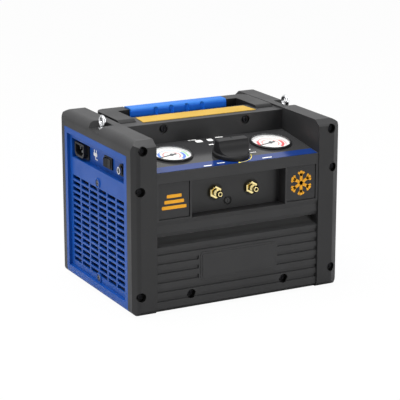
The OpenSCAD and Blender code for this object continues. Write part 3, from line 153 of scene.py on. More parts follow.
class Graph:
    """The node graph of one material, with a Principled shader at its end."""

    mix_sockets = (0, 6, 7)
    mix_result = 2
    bevel_samples = 4
    edge_cosines = (0.72, 0.99)

    def __init__(self, name: str) -> None:
        """Start a material with an empty graph.

        Args:
            name: The material's name.
        """
        self.material = bpy.data.materials.new(name)
        self.material.use_nodes = True
        self.tree = self.material.node_tree
        self.tree.nodes.clear()
        self.shader = self.tree.nodes.new("ShaderNodeBsdfPrincipled")
        self.out = self.tree.nodes.new("ShaderNodeOutputMaterial")
        self.link(self.shader.outputs["BSDF"], self.out.inputs["Surface"])

    def link(self, a: Socket, b: Socket) -> None:
        """Join an output to an input."""
        self.tree.links.new(a, b)

    def feed(self, socket: Socket, value: object) -> None:
        """Set or link one input socket.

        Args:
            socket: The input.
            value: A number or colour to set, or a value or output to link.
        """
        if isinstance(value, Value):
            self.link(value.socket, socket)
        elif isinstance(value, Socket):
            self.link(value, socket)
        else:
            socket.default_value = value

    def node(self, kind: str, settings: Optional[dict] = None,
             inputs: Optional[dict] = None) -> bpy.types.Node:
        """Add any node.

        Args:
            kind: Blender's node type.
            settings: Properties to set first.
            inputs: Values or links by socket name or number.

        Returns:
            The new node.
        """
        made = self.tree.nodes.new(kind)
        for key, value in (settings or {}).items():
            setattr(made, key, value)
        for key, value in (inputs or {}).items():
            self.feed(made.inputs[key], value)
        return made

    def math(self, operation: str, *values: Number) -> Value:
        """Add a Math node on one or more values."""
        made = self.node("ShaderNodeMath", {"operation": operation}, dict(enumerate(values)))
        return Value(self, made.outputs[0])

    def ramp(self, value: Value, low: float, high: float) -> Value:
        """Map a value smoothly from a range to 0..1."""
        made = self.node("ShaderNodeMapRange", {"interpolation_type": "SMOOTHSTEP"},
                         {"Value": value, "From Min": low, "From Max": high})
        return Value(self, made.outputs["Result"])

    def place(self) -> Socket:
        """Give Object coordinates."""
        return self.node("ShaderNodeTexCoord").outputs["Object"]

    def local(self, centre: Vector, tilt: float = 0.0) -> Place:
        """Give coordinates about a point, turned about X.

        Args:
            centre: The new origin, in metres.
            tilt: Turn of the frame about X, in radians.

        Returns:
            The x, y and z values in that frame, in millimetres.
        """
        moved = self.node("ShaderNodeMapping", {"vector_type": "TEXTURE"},
                          {"Vector": self.place(), "Location": centre, "Rotation": (tilt, 0, 0),
                           "Scale": (MM, MM, MM)})
        split = self.node("ShaderNodeSeparateXYZ", None, {0: moved.outputs[0]})
        return tuple(Value(self, s) for s in split.outputs)

    def casing(self) -> Place:
        """Give coordinates in millimetres, with heights from the casing's underside."""
        return self.local(Vector((0, 0, FOOT * MM)))

    def noise(self, scale: float, detail: float = 2.0, stretch: Optional[Vector] = None) -> Value:
        """Give noise over the object.

        Args:
            scale: Features per metre.
            detail: Octaves.
            stretch: Scale of each axis first.

        Returns:
            Noise about its mean.
        """
        where = self.place()
        if stretch is not None:
            where = self.node("ShaderNodeMapping", None, {"Vector": where, "Scale": stretch}).outputs[0]
        made = self.node("ShaderNodeTexNoise", None, {"Vector": where, "Scale": scale, "Detail": detail})
        return Value(self, made.outputs["Fac"])

    def mix(self, factor: Number, a: object, b: object) -> Socket:
        """Mix two colours or sockets, with the second's share as the factor."""
        inputs = dict(zip(self.mix_sockets, (factor, a, b)))
        return self.node("ShaderNodeMix", {"data_type": "RGBA"}, inputs).outputs[self.mix_result]

    def rounded(self, radius: float) -> Socket:
        """Give a normal that rounds sharp edges, radius in millimetres."""
        made = self.node("ShaderNodeBevel", {"samples": self.bevel_samples}, {"Radius": radius * MM})
        return made.outputs[0]

    def edges(self, radius: float) -> Value:
        """Give a mask of the sharp edges.

        Args:
            radius: Reach of the mask in millimetres.

        Returns:
            A mask that is 1 on an edge.
        """
        soft = self.rounded(radius)
        true = self.node("ShaderNodeNewGeometry").outputs["Normal"]
        dot = self.node("ShaderNodeVectorMath", {"operation": "DOT_PRODUCT"}, {0: soft, 1: true})
        return 1 - self.ramp(Value(self, dot.outputs["Value"]), *self.edge_cosines)

    def bump(self, height: Value, depth: float, normal: Optional[Socket] = None) -> Socket:
        """Make a bumped normal.

        Args:
            height: Height from 0 to 1.
            depth: Depth in millimetres.
            normal: Normal to start from.

        Returns:
            The bumped normal.
        """
        inputs = {"Height": height, "Distance": depth * MM, "Strength": 1.0}
        if normal is not None:
            inputs["Normal"] = normal
        return self.node("ShaderNodeBump", None, inputs).outputs[0]

    def dress(self, **sockets: object) -> Material:
        """Set the shader's inputs.

        Args:
            sockets: Values by input name, with underscores for spaces.

        Returns:
            The material.
        """
        for key, value in sockets.items():
            self.feed(self.shader.inputs[key.replace("_", " ")], value)
        return self.material


class Tinted:
    """A finish that may change its colour in places."""

    def tint(self, g: Graph, colour: Socket) -> Socket:
        """Give the colour to use in place of the plain one."""
        return colour


@dataclass(frozen=True)
class Plastic(Tinted):
    """Moulded plastic or rubber with a fine grain and paler edges, partly wear and partly a painted
    highlight.
    """

    name: str
    colour: Rgb
    roughness: float
    grain: float = 900.0
    depth: float = 0.05
    edge_wear_and_highlight: float = 0.25
    rounding: float = 0.7
    gloss: float = 0.2
    pale_gain: float = 1.5
    pale_lift: float = 0.012
    dark_gain: float = 0.82
    cloud_scale: float = 22.0
    cloud_detail: float = 3.0
    cloud_range: Span = (0.3, 0.7)
    cloud_share: float = 0.5
    grain_rough: float = 0.12
    cloud_rough: float = 0.06

    def make(self) -> Material:
        """Build the material.

        Returns:
            The material.
        """
        g = Graph(self.name)
        base = linear(self.colour)
        pale = toned(base, self.pale_gain, self.pale_lift)
        cloud = g.ramp(g.noise(self.cloud_scale, self.cloud_detail), *self.cloud_range)
        colour = g.mix(cloud * self.cloud_share, base, toned(base, self.dark_gain))
        # Paler sharp edges: partly wear, partly a painted highlight.
        colour = g.mix(g.edges(self.rounding) * self.edge_wear_and_highlight, colour, pale)
        colour = self.tint(g, colour)
        fine = g.noise(self.grain)
        rough = self.roughness + (fine - NOISE_MEAN) * self.grain_rough
        rough = rough + (cloud - NOISE_MEAN) * self.cloud_rough
        normal = g.bump(fine, self.depth, g.rounded(self.rounding))
        return g.dress(Base_Color=colour, Roughness=rough, Normal=normal, Specular_IOR_Level=self.gloss)


@dataclass(frozen=True)
class Shell(Plastic):
    """Casing plastic with painted shade in hollows and on the posts' fronts, and painted light on the ledge
    under the front band.

    Each well is given by its place across, its mouth's depth, its height and its radius.
    """

    # Painted shade: the insides of the screw wells and fitting seats are set near black.
    wells: tuple[Quad, ...] = ()
    well_gap: float = 0.3
    well_soft: float = 3.0
    well_y: Span = (0.4, 13.0)
    well_shade_tone: Rgb = (8, 8, 8)
    # Painted shade: the notches that the eye bolts stand in are set near black.
    notch_x: float = 148.6
    notch_y: float = 7.0
    notch_foot: float = 252.0
    notch_z: Span = (251.5, 261.6)
    notch_half: float = 15.5
    notch_spread: float = 0.7
    notch_shade_tone: Rgb = (6, 6, 6)
    # Painted shade: the front faces of the posts are darkened.
    post_x: float = 136.5
    post_y: float = -129.0
    post_soft: float = 2.0
    post_shade_tone: Rgb = (22, 22, 23)
    # Painted light: the ledge in the slot under the front band is lightened, most at the back.
    ledge_half: float = 136.1
    ledge_side: float = 0.6
    ledge_y: Span = (-130.0, -114.0)
    ledge_z: Span = (100.3, 112.4)
    ledge_end: Span = (-106.0, 1.0)
    ledge_light_tone: Rgb = (97, 97, 97)
    crisp: float = 0.3
    soft: float = 0.4

    def holes(self, x: Value, y: Value, z: Value) -> Value:
        """Mask the insides of the screw wells and fitting seats, where shade is painted in.

        Args:
            x: Place across.
            y: Depth.
            z: Height.

        Returns:
            The mask.
        """
        masks = []
        for across, mouth, height, radius in self.wells:
            dx = abs(x) - across
            dz = z - height
            disc = 1 - (dx * dx + dz * dz).over((radius + self.well_gap) ** 2, self.well_soft)
            masks.append(disc * y.within(mouth + self.well_y[0], mouth + self.well_y[1], self.soft))
        return sum(masks[1:], masks[0])

    def notches(self, x: Value, y: Value, z: Value) -> Value:
        """Mask the notches in the rails that the eye bolts stand in, where shade is painted in."""
        reach = abs(y - self.notch_y) - (z - self.notch_foot) * self.notch_spread
        return (abs(x).over(self.notch_x, self.crisp) * (1 - reach.over(self.notch_half, self.soft))
                * z.within(*self.notch_z, self.crisp))

    def posts(self, x: Value, y: Value) -> Value:
        """Mask the front faces of the posts, which get a painted shade."""
        return abs(x).over(self.post_x, self.soft) * (1 - y.over(self.post_y, self.post_soft))

    def ledge(self, x: Value, y: Value, z: Value) -> Value:
        """Mask the ledge for painted light, strongest at the back and fading towards the front."""
        inside = (1 - abs(x).over(self.ledge_half, self.ledge_side)) * z.within(*self.ledge_z, self.soft)
        return inside * y.graph.ramp(y, *self.ledge_y) * (1 - y.over(*self.ledge_end))

    def tint(self, g: Graph, colour: Socket) -> Socket:
        """Paint shade into the hollows and onto the posts' front faces, and paint light onto the ledge.

        Args:
            g: The material's graph.
            colour: The plain colour.

        Returns:
            The colour to use.
        """
        x, y, z = g.casing()
        colour = g.mix(self.posts(x, y), colour, linear(self.post_shade_tone))
        colour = g.mix(self.holes(x, y, z), colour, linear(self.well_shade_tone))
        colour = g.mix(self.notches(x, y, z), colour, linear(self.notch_shade_tone))
        return g.mix(self.ledge(x, y, z), colour, linear(self.ledge_light_tone))


@dataclass(frozen=True)
class Grip(Plastic):
    """Soft plastic that is deeper in colour below its crown."""

    crown: float = 261.5
    crown_soft: float = 4.0
    deep: Rgb = (4, 110, 238)

    def tint(self, g: Graph, colour: Socket) -> Socket:
        """Deepen the colour on the sides."""
        height = g.casing()[2]
        return g.mix(height.over(self.crown, self.crown_soft), linear(self.deep), colour)


@dataclass(frozen=True)
class Metal(Tinted):
    """Bare or plated metal with drawn or turned lines."""

    name: str
    colour: Rgb
    roughness: float
    lines: float = 0.03
    stretch: Point = (1.0, 1.0, 1.0)
    rounding: float = 0.4
    tarnish: float = 0.25
    dull_gain: float = 0.6
    cloud_scale: float = 60.0
    cloud_detail: float = 4.0
    cloud_range: Span = (0.35, 0.75)
    cloud_rough: float = 0.08
    streak_scale: float = 700.0
    streak_detail: float = 3.0
    streak_rough: float = 0.15

    def make(self) -> Material:
        """Build the material.

        Returns:
            The material.
        """
        g = Graph(self.name)
        base = linear(self.colour)
        cloud = g.ramp(g.noise(self.cloud_scale, self.cloud_detail), *self.cloud_range)
        colour = self.tint(g, g.mix(cloud * self.tarnish, base, toned(base, self.dull_gain)))
        streak = g.noise(self.streak_scale, self.streak_detail, Vector(self.stretch))
        rough = self.roughness + (streak - NOISE_MEAN) * self.streak_rough + cloud * self.cloud_rough
        normal = g.bump(streak, self.lines, g.rounded(self.rounding))
        return g.dress(Base_Color=colour, Roughness=rough, Metallic=1.0, Normal=normal)


@dataclass(frozen=True)
class Turned(Metal):
    """Turned metal with painted shade in its grooves across the Y axis."""

    grooves: tuple[Span, ...] = ()
    groove_soft: float = 0.4
    groove_shade_tone: Rgb = (20, 14, 4)

    def tint(self, g: Graph, colour: Socket) -> Socket:
        """Paint shade into the grooves.

        Args:
            g: The material's graph.
            colour: The plain colour.

        Returns:
            The colour to use.
        """
        y = g.casing()[1]
        for near, far in self.grooves:
            colour = g.mix(y.within(near, far, self.groove_soft), colour, linear(self.groove_shade_tone))
        return colour


@dataclass(frozen=True)
class ClearLens:
    """Clear window over a dial with a faint haze."""

    name: str
    colour: Quad = (0.96, 0.98, 1.0, 1.0)
    roughness: float = 0.04
    alpha: float = 0.05
    gloss: float = 0.12
    haze_scale: float = 90.0
    haze_detail: float = 3.0
    haze_range: Span = (0.4, 0.8)
    haze_rough: float = 0.06
    haze_alpha: float = 0.02

    def make(self) -> Material:
        """Build the material.

        Returns:
            The material.
        """
        g = Graph(self.name)
        haze = g.ramp(g.noise(self.haze_scale, self.haze_detail), *self.haze_range)
        return g.dress(Base_Color=self.colour, Roughness=self.roughness + haze * self.haze_rough,
                       Alpha=self.alpha + haze * self.haze_alpha, Specular_IOR_Level=self.gloss)


@dataclass(frozen=True)
class PanelPrint:
    """Glossy printed sheet on the control panel: grey, with a blue band along the front edge."""

    name: str
    grey: Rgb = (49, 49, 50)
    grey_dark: Rgb = (38, 38, 39)
    grey_share: float = 0.3
    band: Rgb = (14, 46, 108)
    band_dark: Rgb = (11, 31, 84)
    band_share: float = 0.2
    band_back: float = -110.5
    band_soft: float = 0.3
    roughness: float = 0.12
    gloss: float = 0.32
    speck_scale: float = 1500.0
    speck_rough: float = 0.06
    speck_depth: float = 0.006

    def make(self) -> Material:
        """Build the material.

        Returns:
            The material.
        """
        g = Graph(self.name)
        y = g.casing()[1]
        speck = g.noise(self.speck_scale)
        grey = g.mix(speck * self.grey_share, linear(self.grey), linear(self.grey_dark))
        band = g.mix(speck * self.band_share, linear(self.band), linear(self.band_dark))
        colour = g.mix(1 - y.over(self.band_back, self.band_soft), grey, band)
        return g.dress(Base_Color=colour, Roughness=self.roughness + speck * self.speck_rough,
                       Normal=g.bump(speck, self.speck_depth), Specular_IOR_Level=self.gloss)


@dataclass(frozen=True)
class DialPrint:
    """White dial with coloured arcs round its middle: radii in millimetres, turns in degrees."""

    name: str
    centre: Point
    outer: Rgb
    inner: Rgb
    extra: Rgb
    start: float
    end: float
    paper: Rgb = (216, 216, 214)
    paper_dark: Rgb = (202, 202, 199)
    paper_scale: float = 400.0
    paper_detail: float = 3.0
    paper_share: float = 0.2
    roughness: float = 0.4
    rough_scale: float = 900.0
    rough_swing: float = 0.1
    thin_r: Span = (18.9, 20.5)
    thin_share: float = 0.85
    bold_r: Span = (17.2, 21.6)
    bold_turns: Span = (52.0, 80.0)
    bold_fade: float = 24.0
    inner_r: Span = (12.0, 14.2)
    inner_soft: float = 0.4
    inner_share: float = 0.9
    extra_r: Span = (23.0, 25.4)
    extra_turns: Span = (62.0, 118.0)
    extra_fade: float = 2.0
    soft: float = 0.3
    turn_soft: float = 1.5

    def make(self) -> Material:
        """Build the material.

        Returns:
            The material.
        """
        g = Graph(self.name)
        x, y, _ = g.local(Vector(self.centre), math.radians(Panel.tilt))
        r = g.math("SQRT", x * x + y * y)
        turn = g.math("ARCTAN2", x, y) * math.degrees(1.0)
        scale = turn.within(self.start, self.end, self.turn_soft)
        first, last = self.bold_turns
        ends = 1 - turn.within(self.start + first, self.end - last, self.bold_fade)
        right = turn.within(*self.extra_turns, self.extra_fade)
        paper = g.noise(self.paper_scale, self.paper_detail) * self.paper_share
        colour = g.mix(paper, linear(self.paper), linear(self.paper_dark))
        arcs = ((r.within(*self.thin_r, self.soft) * scale * self.thin_share, self.outer),
                (r.within(*self.bold_r, self.soft) * scale * ends, self.outer),
                (r.within(*self.inner_r, self.inner_soft) * scale * self.inner_share, self.inner),
                (r.within(*self.extra_r, self.soft) * right, self.extra))
        for mask, ink in arcs:
            colour = g.mix(mask, colour, linear(ink))
        rough = self.roughness + g.noise(self.rough_scale) * self.rough_swing
        return g.dress(Base_Color=colour, Roughness=rough)


class Panel:
    """The sloped control panel's own frame."""

    tilt = 8.0
    lip_z = 212.0
    sheet = 0.6

    @classmethod
    def height(cls, y: float) -> float:
        """Height of the panel's surface at a depth, in millimetres above the floor."""
        return cls.lip_z + FOOT + (y - FRONT_Y) * math.tan(math.radians(cls.tilt))

    @classmethod
    def at(cls, x: float, y: float, lift: float = 0.0) -> Matrix:
        """Give a frame in metres that stands on the panel, at a place and lift in millimetres."""
        return shift(x, y, cls.height(y)) @ spin(cls.tilt, "X") @ shift(0, 0, lift)


class Bench:
    """Modelling by hand: primitives and edit mode."""

    corner_steps = 6
    edge_steps = 2
    font_steps = 3
    upward = 0.9

    @staticmethod
    def clear() -> None:
        """Leave edit mode and deselect everything."""
        if bpy.context.object and bpy.context.object.mode != "OBJECT":
            bpy.ops.object.mode_set(mode="OBJECT")
        bpy.ops.object.select_all(action="DESELECT")

    @staticmethod
    def activate(*pieces: Piece) -> None:
        """Select only some pieces and make the first one active.

        Args:
            pieces: The pieces.
        """
        Bench.clear()
        for piece in pieces:
            piece.select_set(True)
        bpy.context.view_layer.objects.active = pieces[0]

    @staticmethod
    def take(name: str) -> Piece:
        """Name the active object.

        Args:
            name: The piece's name.

        Returns:
            The active object.
        """
        made = bpy.context.object
        made.name = name
        made.data.name = name
        return made

    @staticmethod
    def pick_top(obj: Piece) -> None:
        """Go to edit mode with only the upper faces selected.

        Args:
            obj: The mesh object, in object mode.
        """
        bpy.ops.object.mode_set(mode="EDIT")
        bpy.ops.mesh.select_all(action="DESELECT")
        bpy.ops.mesh.select_mode(type="FACE")
        bpy.ops.object.mode_set(mode="OBJECT")
        for face in obj.data.polygons:
            face.select = face.normal.z > Bench.upward
        bpy.ops.object.mode_set(mode="EDIT")

    @staticmethod
    def close() -> None:
        """Turn all faces of the mesh in edit mode outwards, and leave edit mode."""
        bpy.ops.mesh.select_all(action="SELECT")
        bpy.ops.mesh.normals_make_consistent(inside=False)
        bpy.ops.object.mode_set(mode="OBJECT")

    @staticmethod
    def seat(obj: Piece, place: Matrix) -> Piece:
        """Put a piece in its place and leave its object at the origin.

        Args:
            obj: The piece.
            place: Its place, in metres.

        Returns:
            The piece.
        """
        Bench.activate(obj)
        obj.matrix_world = place
        bpy.ops.object.transform_apply(location=True, rotation=True, scale=True)
        return obj

    @staticmethod
    def smooth(obj: Piece, angle: float) -> None:
        """Smooth the shading below an angle, in degrees."""
        Bench.activate(obj)
        bpy.ops.object.shade_smooth_by_angle(angle=math.radians(angle))

    @staticmethod
    def plate(name: str, size: Sequence[float], corner: float, edge: float = 0.0) -> Piece:
        """Make a flat plate with round corners, standing on z = 0.

        Args:
            name: The piece's name.
            size: Width, depth and thickness, in millimetres.
            corner: Corner radius, in millimetres.
            edge: Bevel of the upper edge, in millimetres.

        Returns:
            The plate at the origin.
        """
        Bench.clear()
        bpy.ops.mesh.primitive_plane_add(size=1.0)
        made = Bench.take(name)
        bpy.ops.object.mode_set(mode="EDIT")
        bpy.ops.mesh.select_all(action="SELECT")
        bpy.ops.transform.resize(value=(size[0] * MM, size[1] * MM, 1.0))
        if corner > 0:
            bpy.ops.mesh.bevel(offset=corner * MM, segments=Bench.corner_steps, affect="VERTICES")
        bpy.ops.mesh.extrude_region_move(TRANSFORM_OT_translate={"value": (0, 0, size[2] * MM)})
        Bench.close()
        if edge > 0:
            Bench.pick_top(made)
            bpy.ops.mesh.bevel(offset=edge * MM, segments=Bench.edge_steps, affect="EDGES")
            bpy.ops.object.mode_set(mode="OBJECT")
        return made

    @staticmethod
    def plates(name: str, rows: Sequence[tuple[Sequence[float], float, Matrix]]) -> Piece:
        """Make several plates as one piece.

        Args:
            name: The piece's name.
            rows: Size, corner radius and place of each plate.

        Returns:
            The piece.
        """
        made = []
        for i, (size, corner, place) in enumerate(rows):
            made.append(Bench.seat(Bench.plate(f"{name}_{i}", size, corner), place))
        return Bench.join(name, made)

    @staticmethod
    def turned(name: str, profile: Sequence[Span], sides: int) -> Piece:
        """Turn a piece about Z by stepping a disc along its profile.

        Args:
            name: The piece's name.
            profile: Radius and height pairs from one end to the other, in millimetres.
            sides: Number of sides.

        Returns:
            The closed piece at the origin.
        """
        Bench.clear()
        r0, z0 = profile[0]
        bpy.ops.mesh.primitive_circle_add(vertices=sides, radius=r0 * MM, fill_type="NGON",
                                          location=(0, 0, 0))
        made = Bench.take(name)
        bpy.ops.object.mode_set(mode="EDIT")
        bpy.ops.mesh.select_all(action="SELECT")
        bpy.ops.transform.translate(value=(0, 0, z0 * MM))
        for (ra, za), (rb, zb) in zip(profile, profile[1:]):
            bpy.ops.mesh.extrude_region_move(TRANSFORM_OT_translate={"value": (0, 0, (zb - za) * MM)})
            ratio = rb / ra
            bpy.ops.transform.resize(value=(ratio, ratio, 1.0), center_override=(0, 0, zb * MM))
        Bench.close()
        return made

    @staticmethod
    def join(name: str, parts: Sequence[Piece]) -> Piece:
        """Join several pieces into one.

        Args:
            name: The name of the whole.
            parts: The pieces.

        Returns:
            The joined piece.
        """
        Bench.activate(*parts)
        bpy.ops.object.join()
        return Bench.take(name)

    @staticmethod
    def figures(text: str, height: float, thickness: float) -> Piece:
        """Make dial figures as a mesh, centred at the origin.

        Args:
            text: The figures.
            height: Letter size, in millimetres.
            thickness: Thickness of the print, in millimetres.

        Returns:
            The mesh object.
        """
        Bench.clear()
        bpy.ops.object.text_add()
        made = bpy.context.object
        made.data.body = text
        made.data.size = height * MM
        made.data.align_x = "CENTER"
        made.data.align_y = "CENTER"
        made.data.extrude = thickness * MM / 2
        made.data.resolution_u = Bench.font_steps
        bpy.ops.object.convert(target="MESH")
        return bpy.context.object


class Finish(Enum):
    """Finishes shared by several pieces."""

    # The casing paints shade into its screw wells and the two fitting seats.
    CASING = Shell("charcoal_casing", (34, 34, 35), 0.5, edge_wear_and_highlight=0.3, gloss=0.33,
                   wells=((158.0, FRONT_Y, 248.0, WELL_R), (162.0, FRONT_Y, 188.0, WELL_R),
                          (162.0, FRONT_Y, 29.0, WELL_R), (79.0, FRONT_Y, 22.0, WELL_R),
                          (70.5, DECK_WALL_Y, 249.3, WELL_R), (9.0, RECESS_Y, 152.0, WELL_R),
                          (PORT_X, RECESS_Y, PORT_Z, SEAT_R)))
    BLUE = Plastic("blue_side_panel", (13, 71, 151), 0.42)
    GRIP = Grip("blue_soft_grip", (12, 96, 178), 0.55, grain=1400.0, depth=0.08, edge_wear_and_highlight=0.15, rounding=1.2,
                gloss=0.4)
    BLACK = Plastic("black_trim", (24, 24, 25), 0.42, rounding=0.5)
    KNOB = Plastic("black_knob", (26, 26, 27), 0.48, rounding=1.2)
    RUBBER = Plastic("black_rubber", (22, 22, 22), 0.75, depth=0.1)
    YELLOW = Plastic("yellow_plate", (178, 143, 49), 0.4, grain=1800.0, depth=0.01, edge_wear_and_highlight=0.1, rounding=0.2,
                     gloss=0.08)
    BADGE = Plastic("badge_plate", (46, 46, 47), 0.35, depth=0.02, rounding=0.4)
    GOLD = Plastic("gold_print", (240, 168, 34), 0.35, depth=0.01, edge_wear_and_highlight=0.1, rounding=0.2)
    WHITE = Plastic("white_print", (238, 238, 236), 0.4, depth=0.01, edge_wear_and_highlight=0.0, rounding=0.1)
    LIME = Plastic("yellow_print", (232, 214, 84), 0.4, depth=0.01, edge_wear_and_highlight=0.0, rounding=0.1)
    NEEDLE = Plastic("black_ink", (28, 28, 30), 0.5, depth=0.01, edge_wear_and_highlight=0.0, rounding=0.1)
    TICK = Plastic("grey_ink", (120, 120, 124), 0.5, depth=0.01, edge_wear_and_highlight=0.0, rounding=0.1)
    BOARD = Plastic("green_board", (28, 92, 58), 0.35, depth=0.02)
    MOTOR = Plastic("motor_paint", (70, 72, 75), 0.45, depth=0.08)
    OXIDE = Plastic("black_oxide", (36, 36, 37), 0.42, depth=0.02, rounding=0.3, gloss=0.5)
    SCREW = Metal("black_screw", (34, 34, 36), 0.42)
    STEEL = Metal("zinc_steel", (176, 178, 180), 0.34)
    ZINC = Metal("dull_zinc", (92, 94, 100), 0.4)
    CHROME = Metal("bright_eye", (205, 206, 208), 0.14, lines=0.004, tarnish=0.1)
    # The brass paints shade into the neck behind the hexagon and the step before the nose.
    BRASS = Turned("turned_brass", (247, 228, 164), 0.13, lines=0.008, stretch=(1.0, 6.0, 1.0),
                   grooves=((-118.3, -116.1), (-126.0, -125.1)))
    COPPER = Metal("copper_tube", (188, 112, 76), 0.32)
    ALLOY = Metal("cast_alloy", (150, 152, 154), 0.5, lines=0.08)
    FINS = Metal("fin_alloy", (96, 98, 100), 0.45)
    LENS = ClearLens("clear_lens")
    OVERLAY = PanelPrint("control_print")


class Palette:
    """Makes each finish once and hands it out."""

    def __init__(self) -> None:
        """Start with no materials made."""
        self.made: dict[str, Material] = {}

    def get(self, finish: object) -> Material:
        """Give the material of a finish.

        Args:
            finish: A Finish or a finish object of its own.

        Returns:
            The material.
        """
        recipe = finish.value if isinstance(finish, Finish) else finish
        if recipe.name not in self.made:
            self.made[recipe.name] = recipe.make()
        return self.made[recipe.name]

    def wear(self, obj: Piece, finish: object) -> None:
        """Put a finish on an object in place of what it had."""
        obj.data.materials.clear()
        obj.data.materials.append(self.get(finish))

    def node(self, finish: object, *names: str) -> None:
        """Put a finish on CAD nodes.

        Args:
            finish: The finish.
            names: The nodes' names.
        """
        for name in names:
            self.wear(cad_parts[name], finish)
            LOG.info("node %s dressed", name)

    def piece(self, obj: Piece, finish: object, slot: str, body: str = MACHINE) -> None:
        """Dress a new piece and set it riding on a body.

        Args:
            obj: The piece.
            finish: Its finish.
            slot: The record's material slot; not used.
            body: The CAD body it moves with.
        """
        self.wear(obj, finish)
        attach(obj, body)
        LOG.info("piece %s rides on %s", obj.name, body)


@dataclass
class Assembly:
    """A sub-assembly that takes its finishes from a palette, with sizes in millimetres."""

    palette: Palette
    finishes: ClassVar[tuple[tuple, ...]] = ()

    def dress(self) -> None:
        """Give the CAD nodes their finishes."""
        for finish, *names in self.finishes:
            self.palette.node(finish, *names)

    def model(self) -> None:
        """Make the new pieces, where there are any."""

    def build(self) -> None:
        """Dress the CAD nodes, then make the new pieces."""
        self.dress()
        self.model()


@dataclass
class Casing(Assembly):
    """Moulded shells, side panels, tray, feet and their screws."""

    finishes = ((Finish.CASING, "front_housing", "rear_housing"),
                (Finish.BLUE, "left_side_panel", "right_side_panel"),
                (Finish.ZINC, "side_panel_screws"),
                (Finish.BLACK, "base_tray"),
                (Finish.RUBBER, "rubber_feet"),
                (Finish.SCREW, "front_screws", "rear_screws", "deck_screws"),
                (Finish.OXIDE, "port_screw"),
                (Finish.CHROME, "eye_bolts"))
    badge_x: float = 107.25
    badge_y: float = -128.5
    badge_z: float = 169.0
    badge_size: Point = (49.6, 53.0, 1.0)
    badge_corner: float = 2.0
    badge_edge: float = 0.4
    mark_t: float = 0.3
    bar_rows: int = 3
    bar_w: float = 40.0
    bar_shrink: float = 8.0
    bar_h: float = 5.0
    bar_corner: float = 1.2
    bar_drop: float = 10.0
    bar_pitch: float = 8.5
    arms: int = 6
    arm_w: float = 4.6
    arm_l: float = 19.0
    arm_corner: float = 0.8
    twig_lean: float = 45.0
    twig_w: float = 3.2
    twig_l: float = 8.0
    twig_corner: float = 0.6
    twig_out: float = 2.4
    twig_shift: float = 3.4
    name_y: float = -130.3
    name_z: float = 62.5
    name_size: Point = (122.0, 37.0, 0.6)
    name_corner: float = 3.5
    name_edge: float = 0.3

    def on_badge(self, side: int, up: float = 0.0) -> Matrix:
        """Give a frame on the face of the badge on one side, raised by a height."""
        return front(side * self.badge_x, self.badge_y - self.badge_size[2], self.badge_z + up)

    def badges(self) -> None:
        """Make the two badge plates."""
        for name, side in (("left", -1), ("right", 1)):
            plate = Bench.plate(f"{name}_badge_plate", self.badge_size, self.badge_corner, self.badge_edge)
            Bench.seat(plate, front(side * self.badge_x, self.badge_y, self.badge_z))
            self.palette.piece(plate, Finish.BADGE, "casing")

    def bars(self) -> None:
        """Print plain bars on the left badge."""
        rows = []
        for row in range(self.bar_rows):
            size = (self.bar_w - self.bar_shrink * row, self.bar_h, self.mark_t)
            rows.append((size, self.bar_corner, self.on_badge(-1, self.bar_pitch * row - self.bar_drop)))
        self.palette.piece(Bench.plates("left_badge_mark", rows), Finish.GOLD, "plate_yellow")

    def crystal(self) -> None:
        """Print a snow crystal on the right badge, each arm with two twigs."""
        rows = []
        arm = (self.arm_w, self.arm_l, self.mark_t)
        twig = (self.twig_w, self.twig_l, self.mark_t)
        for turn in range(self.arms):
            place = self.on_badge(1) @ spin(FULL_TURN / self.arms * turn, "Z") @ shift(0, self.arm_l / 2, 0)
            rows.append((arm, self.arm_corner, place))
            for lean in (-self.twig_lean, self.twig_lean):
                branch = place @ shift(0, self.twig_out, 0) @ spin(lean, "Z")
                rows.append((twig, self.twig_corner, branch @ shift(0, self.twig_shift, 0)))
        self.palette.piece(Bench.plates("right_badge_mark", rows), Finish.GOLD, "plate_yellow")

    def name_plate(self) -> None:
        """Make the bare plate in the name frame."""
        plate = Bench.plate("name_plate", self.name_size, self.name_corner, self.name_edge)
        Bench.seat(plate, front(0, self.name_y, self.name_z))
        self.palette.piece(plate, Finish.CASING, "casing")

    def model(self) -> None:
        """Make the badges, their marks and the name plate."""
        self.badges()
        self.bars()
        self.crystal()
        self.name_plate()


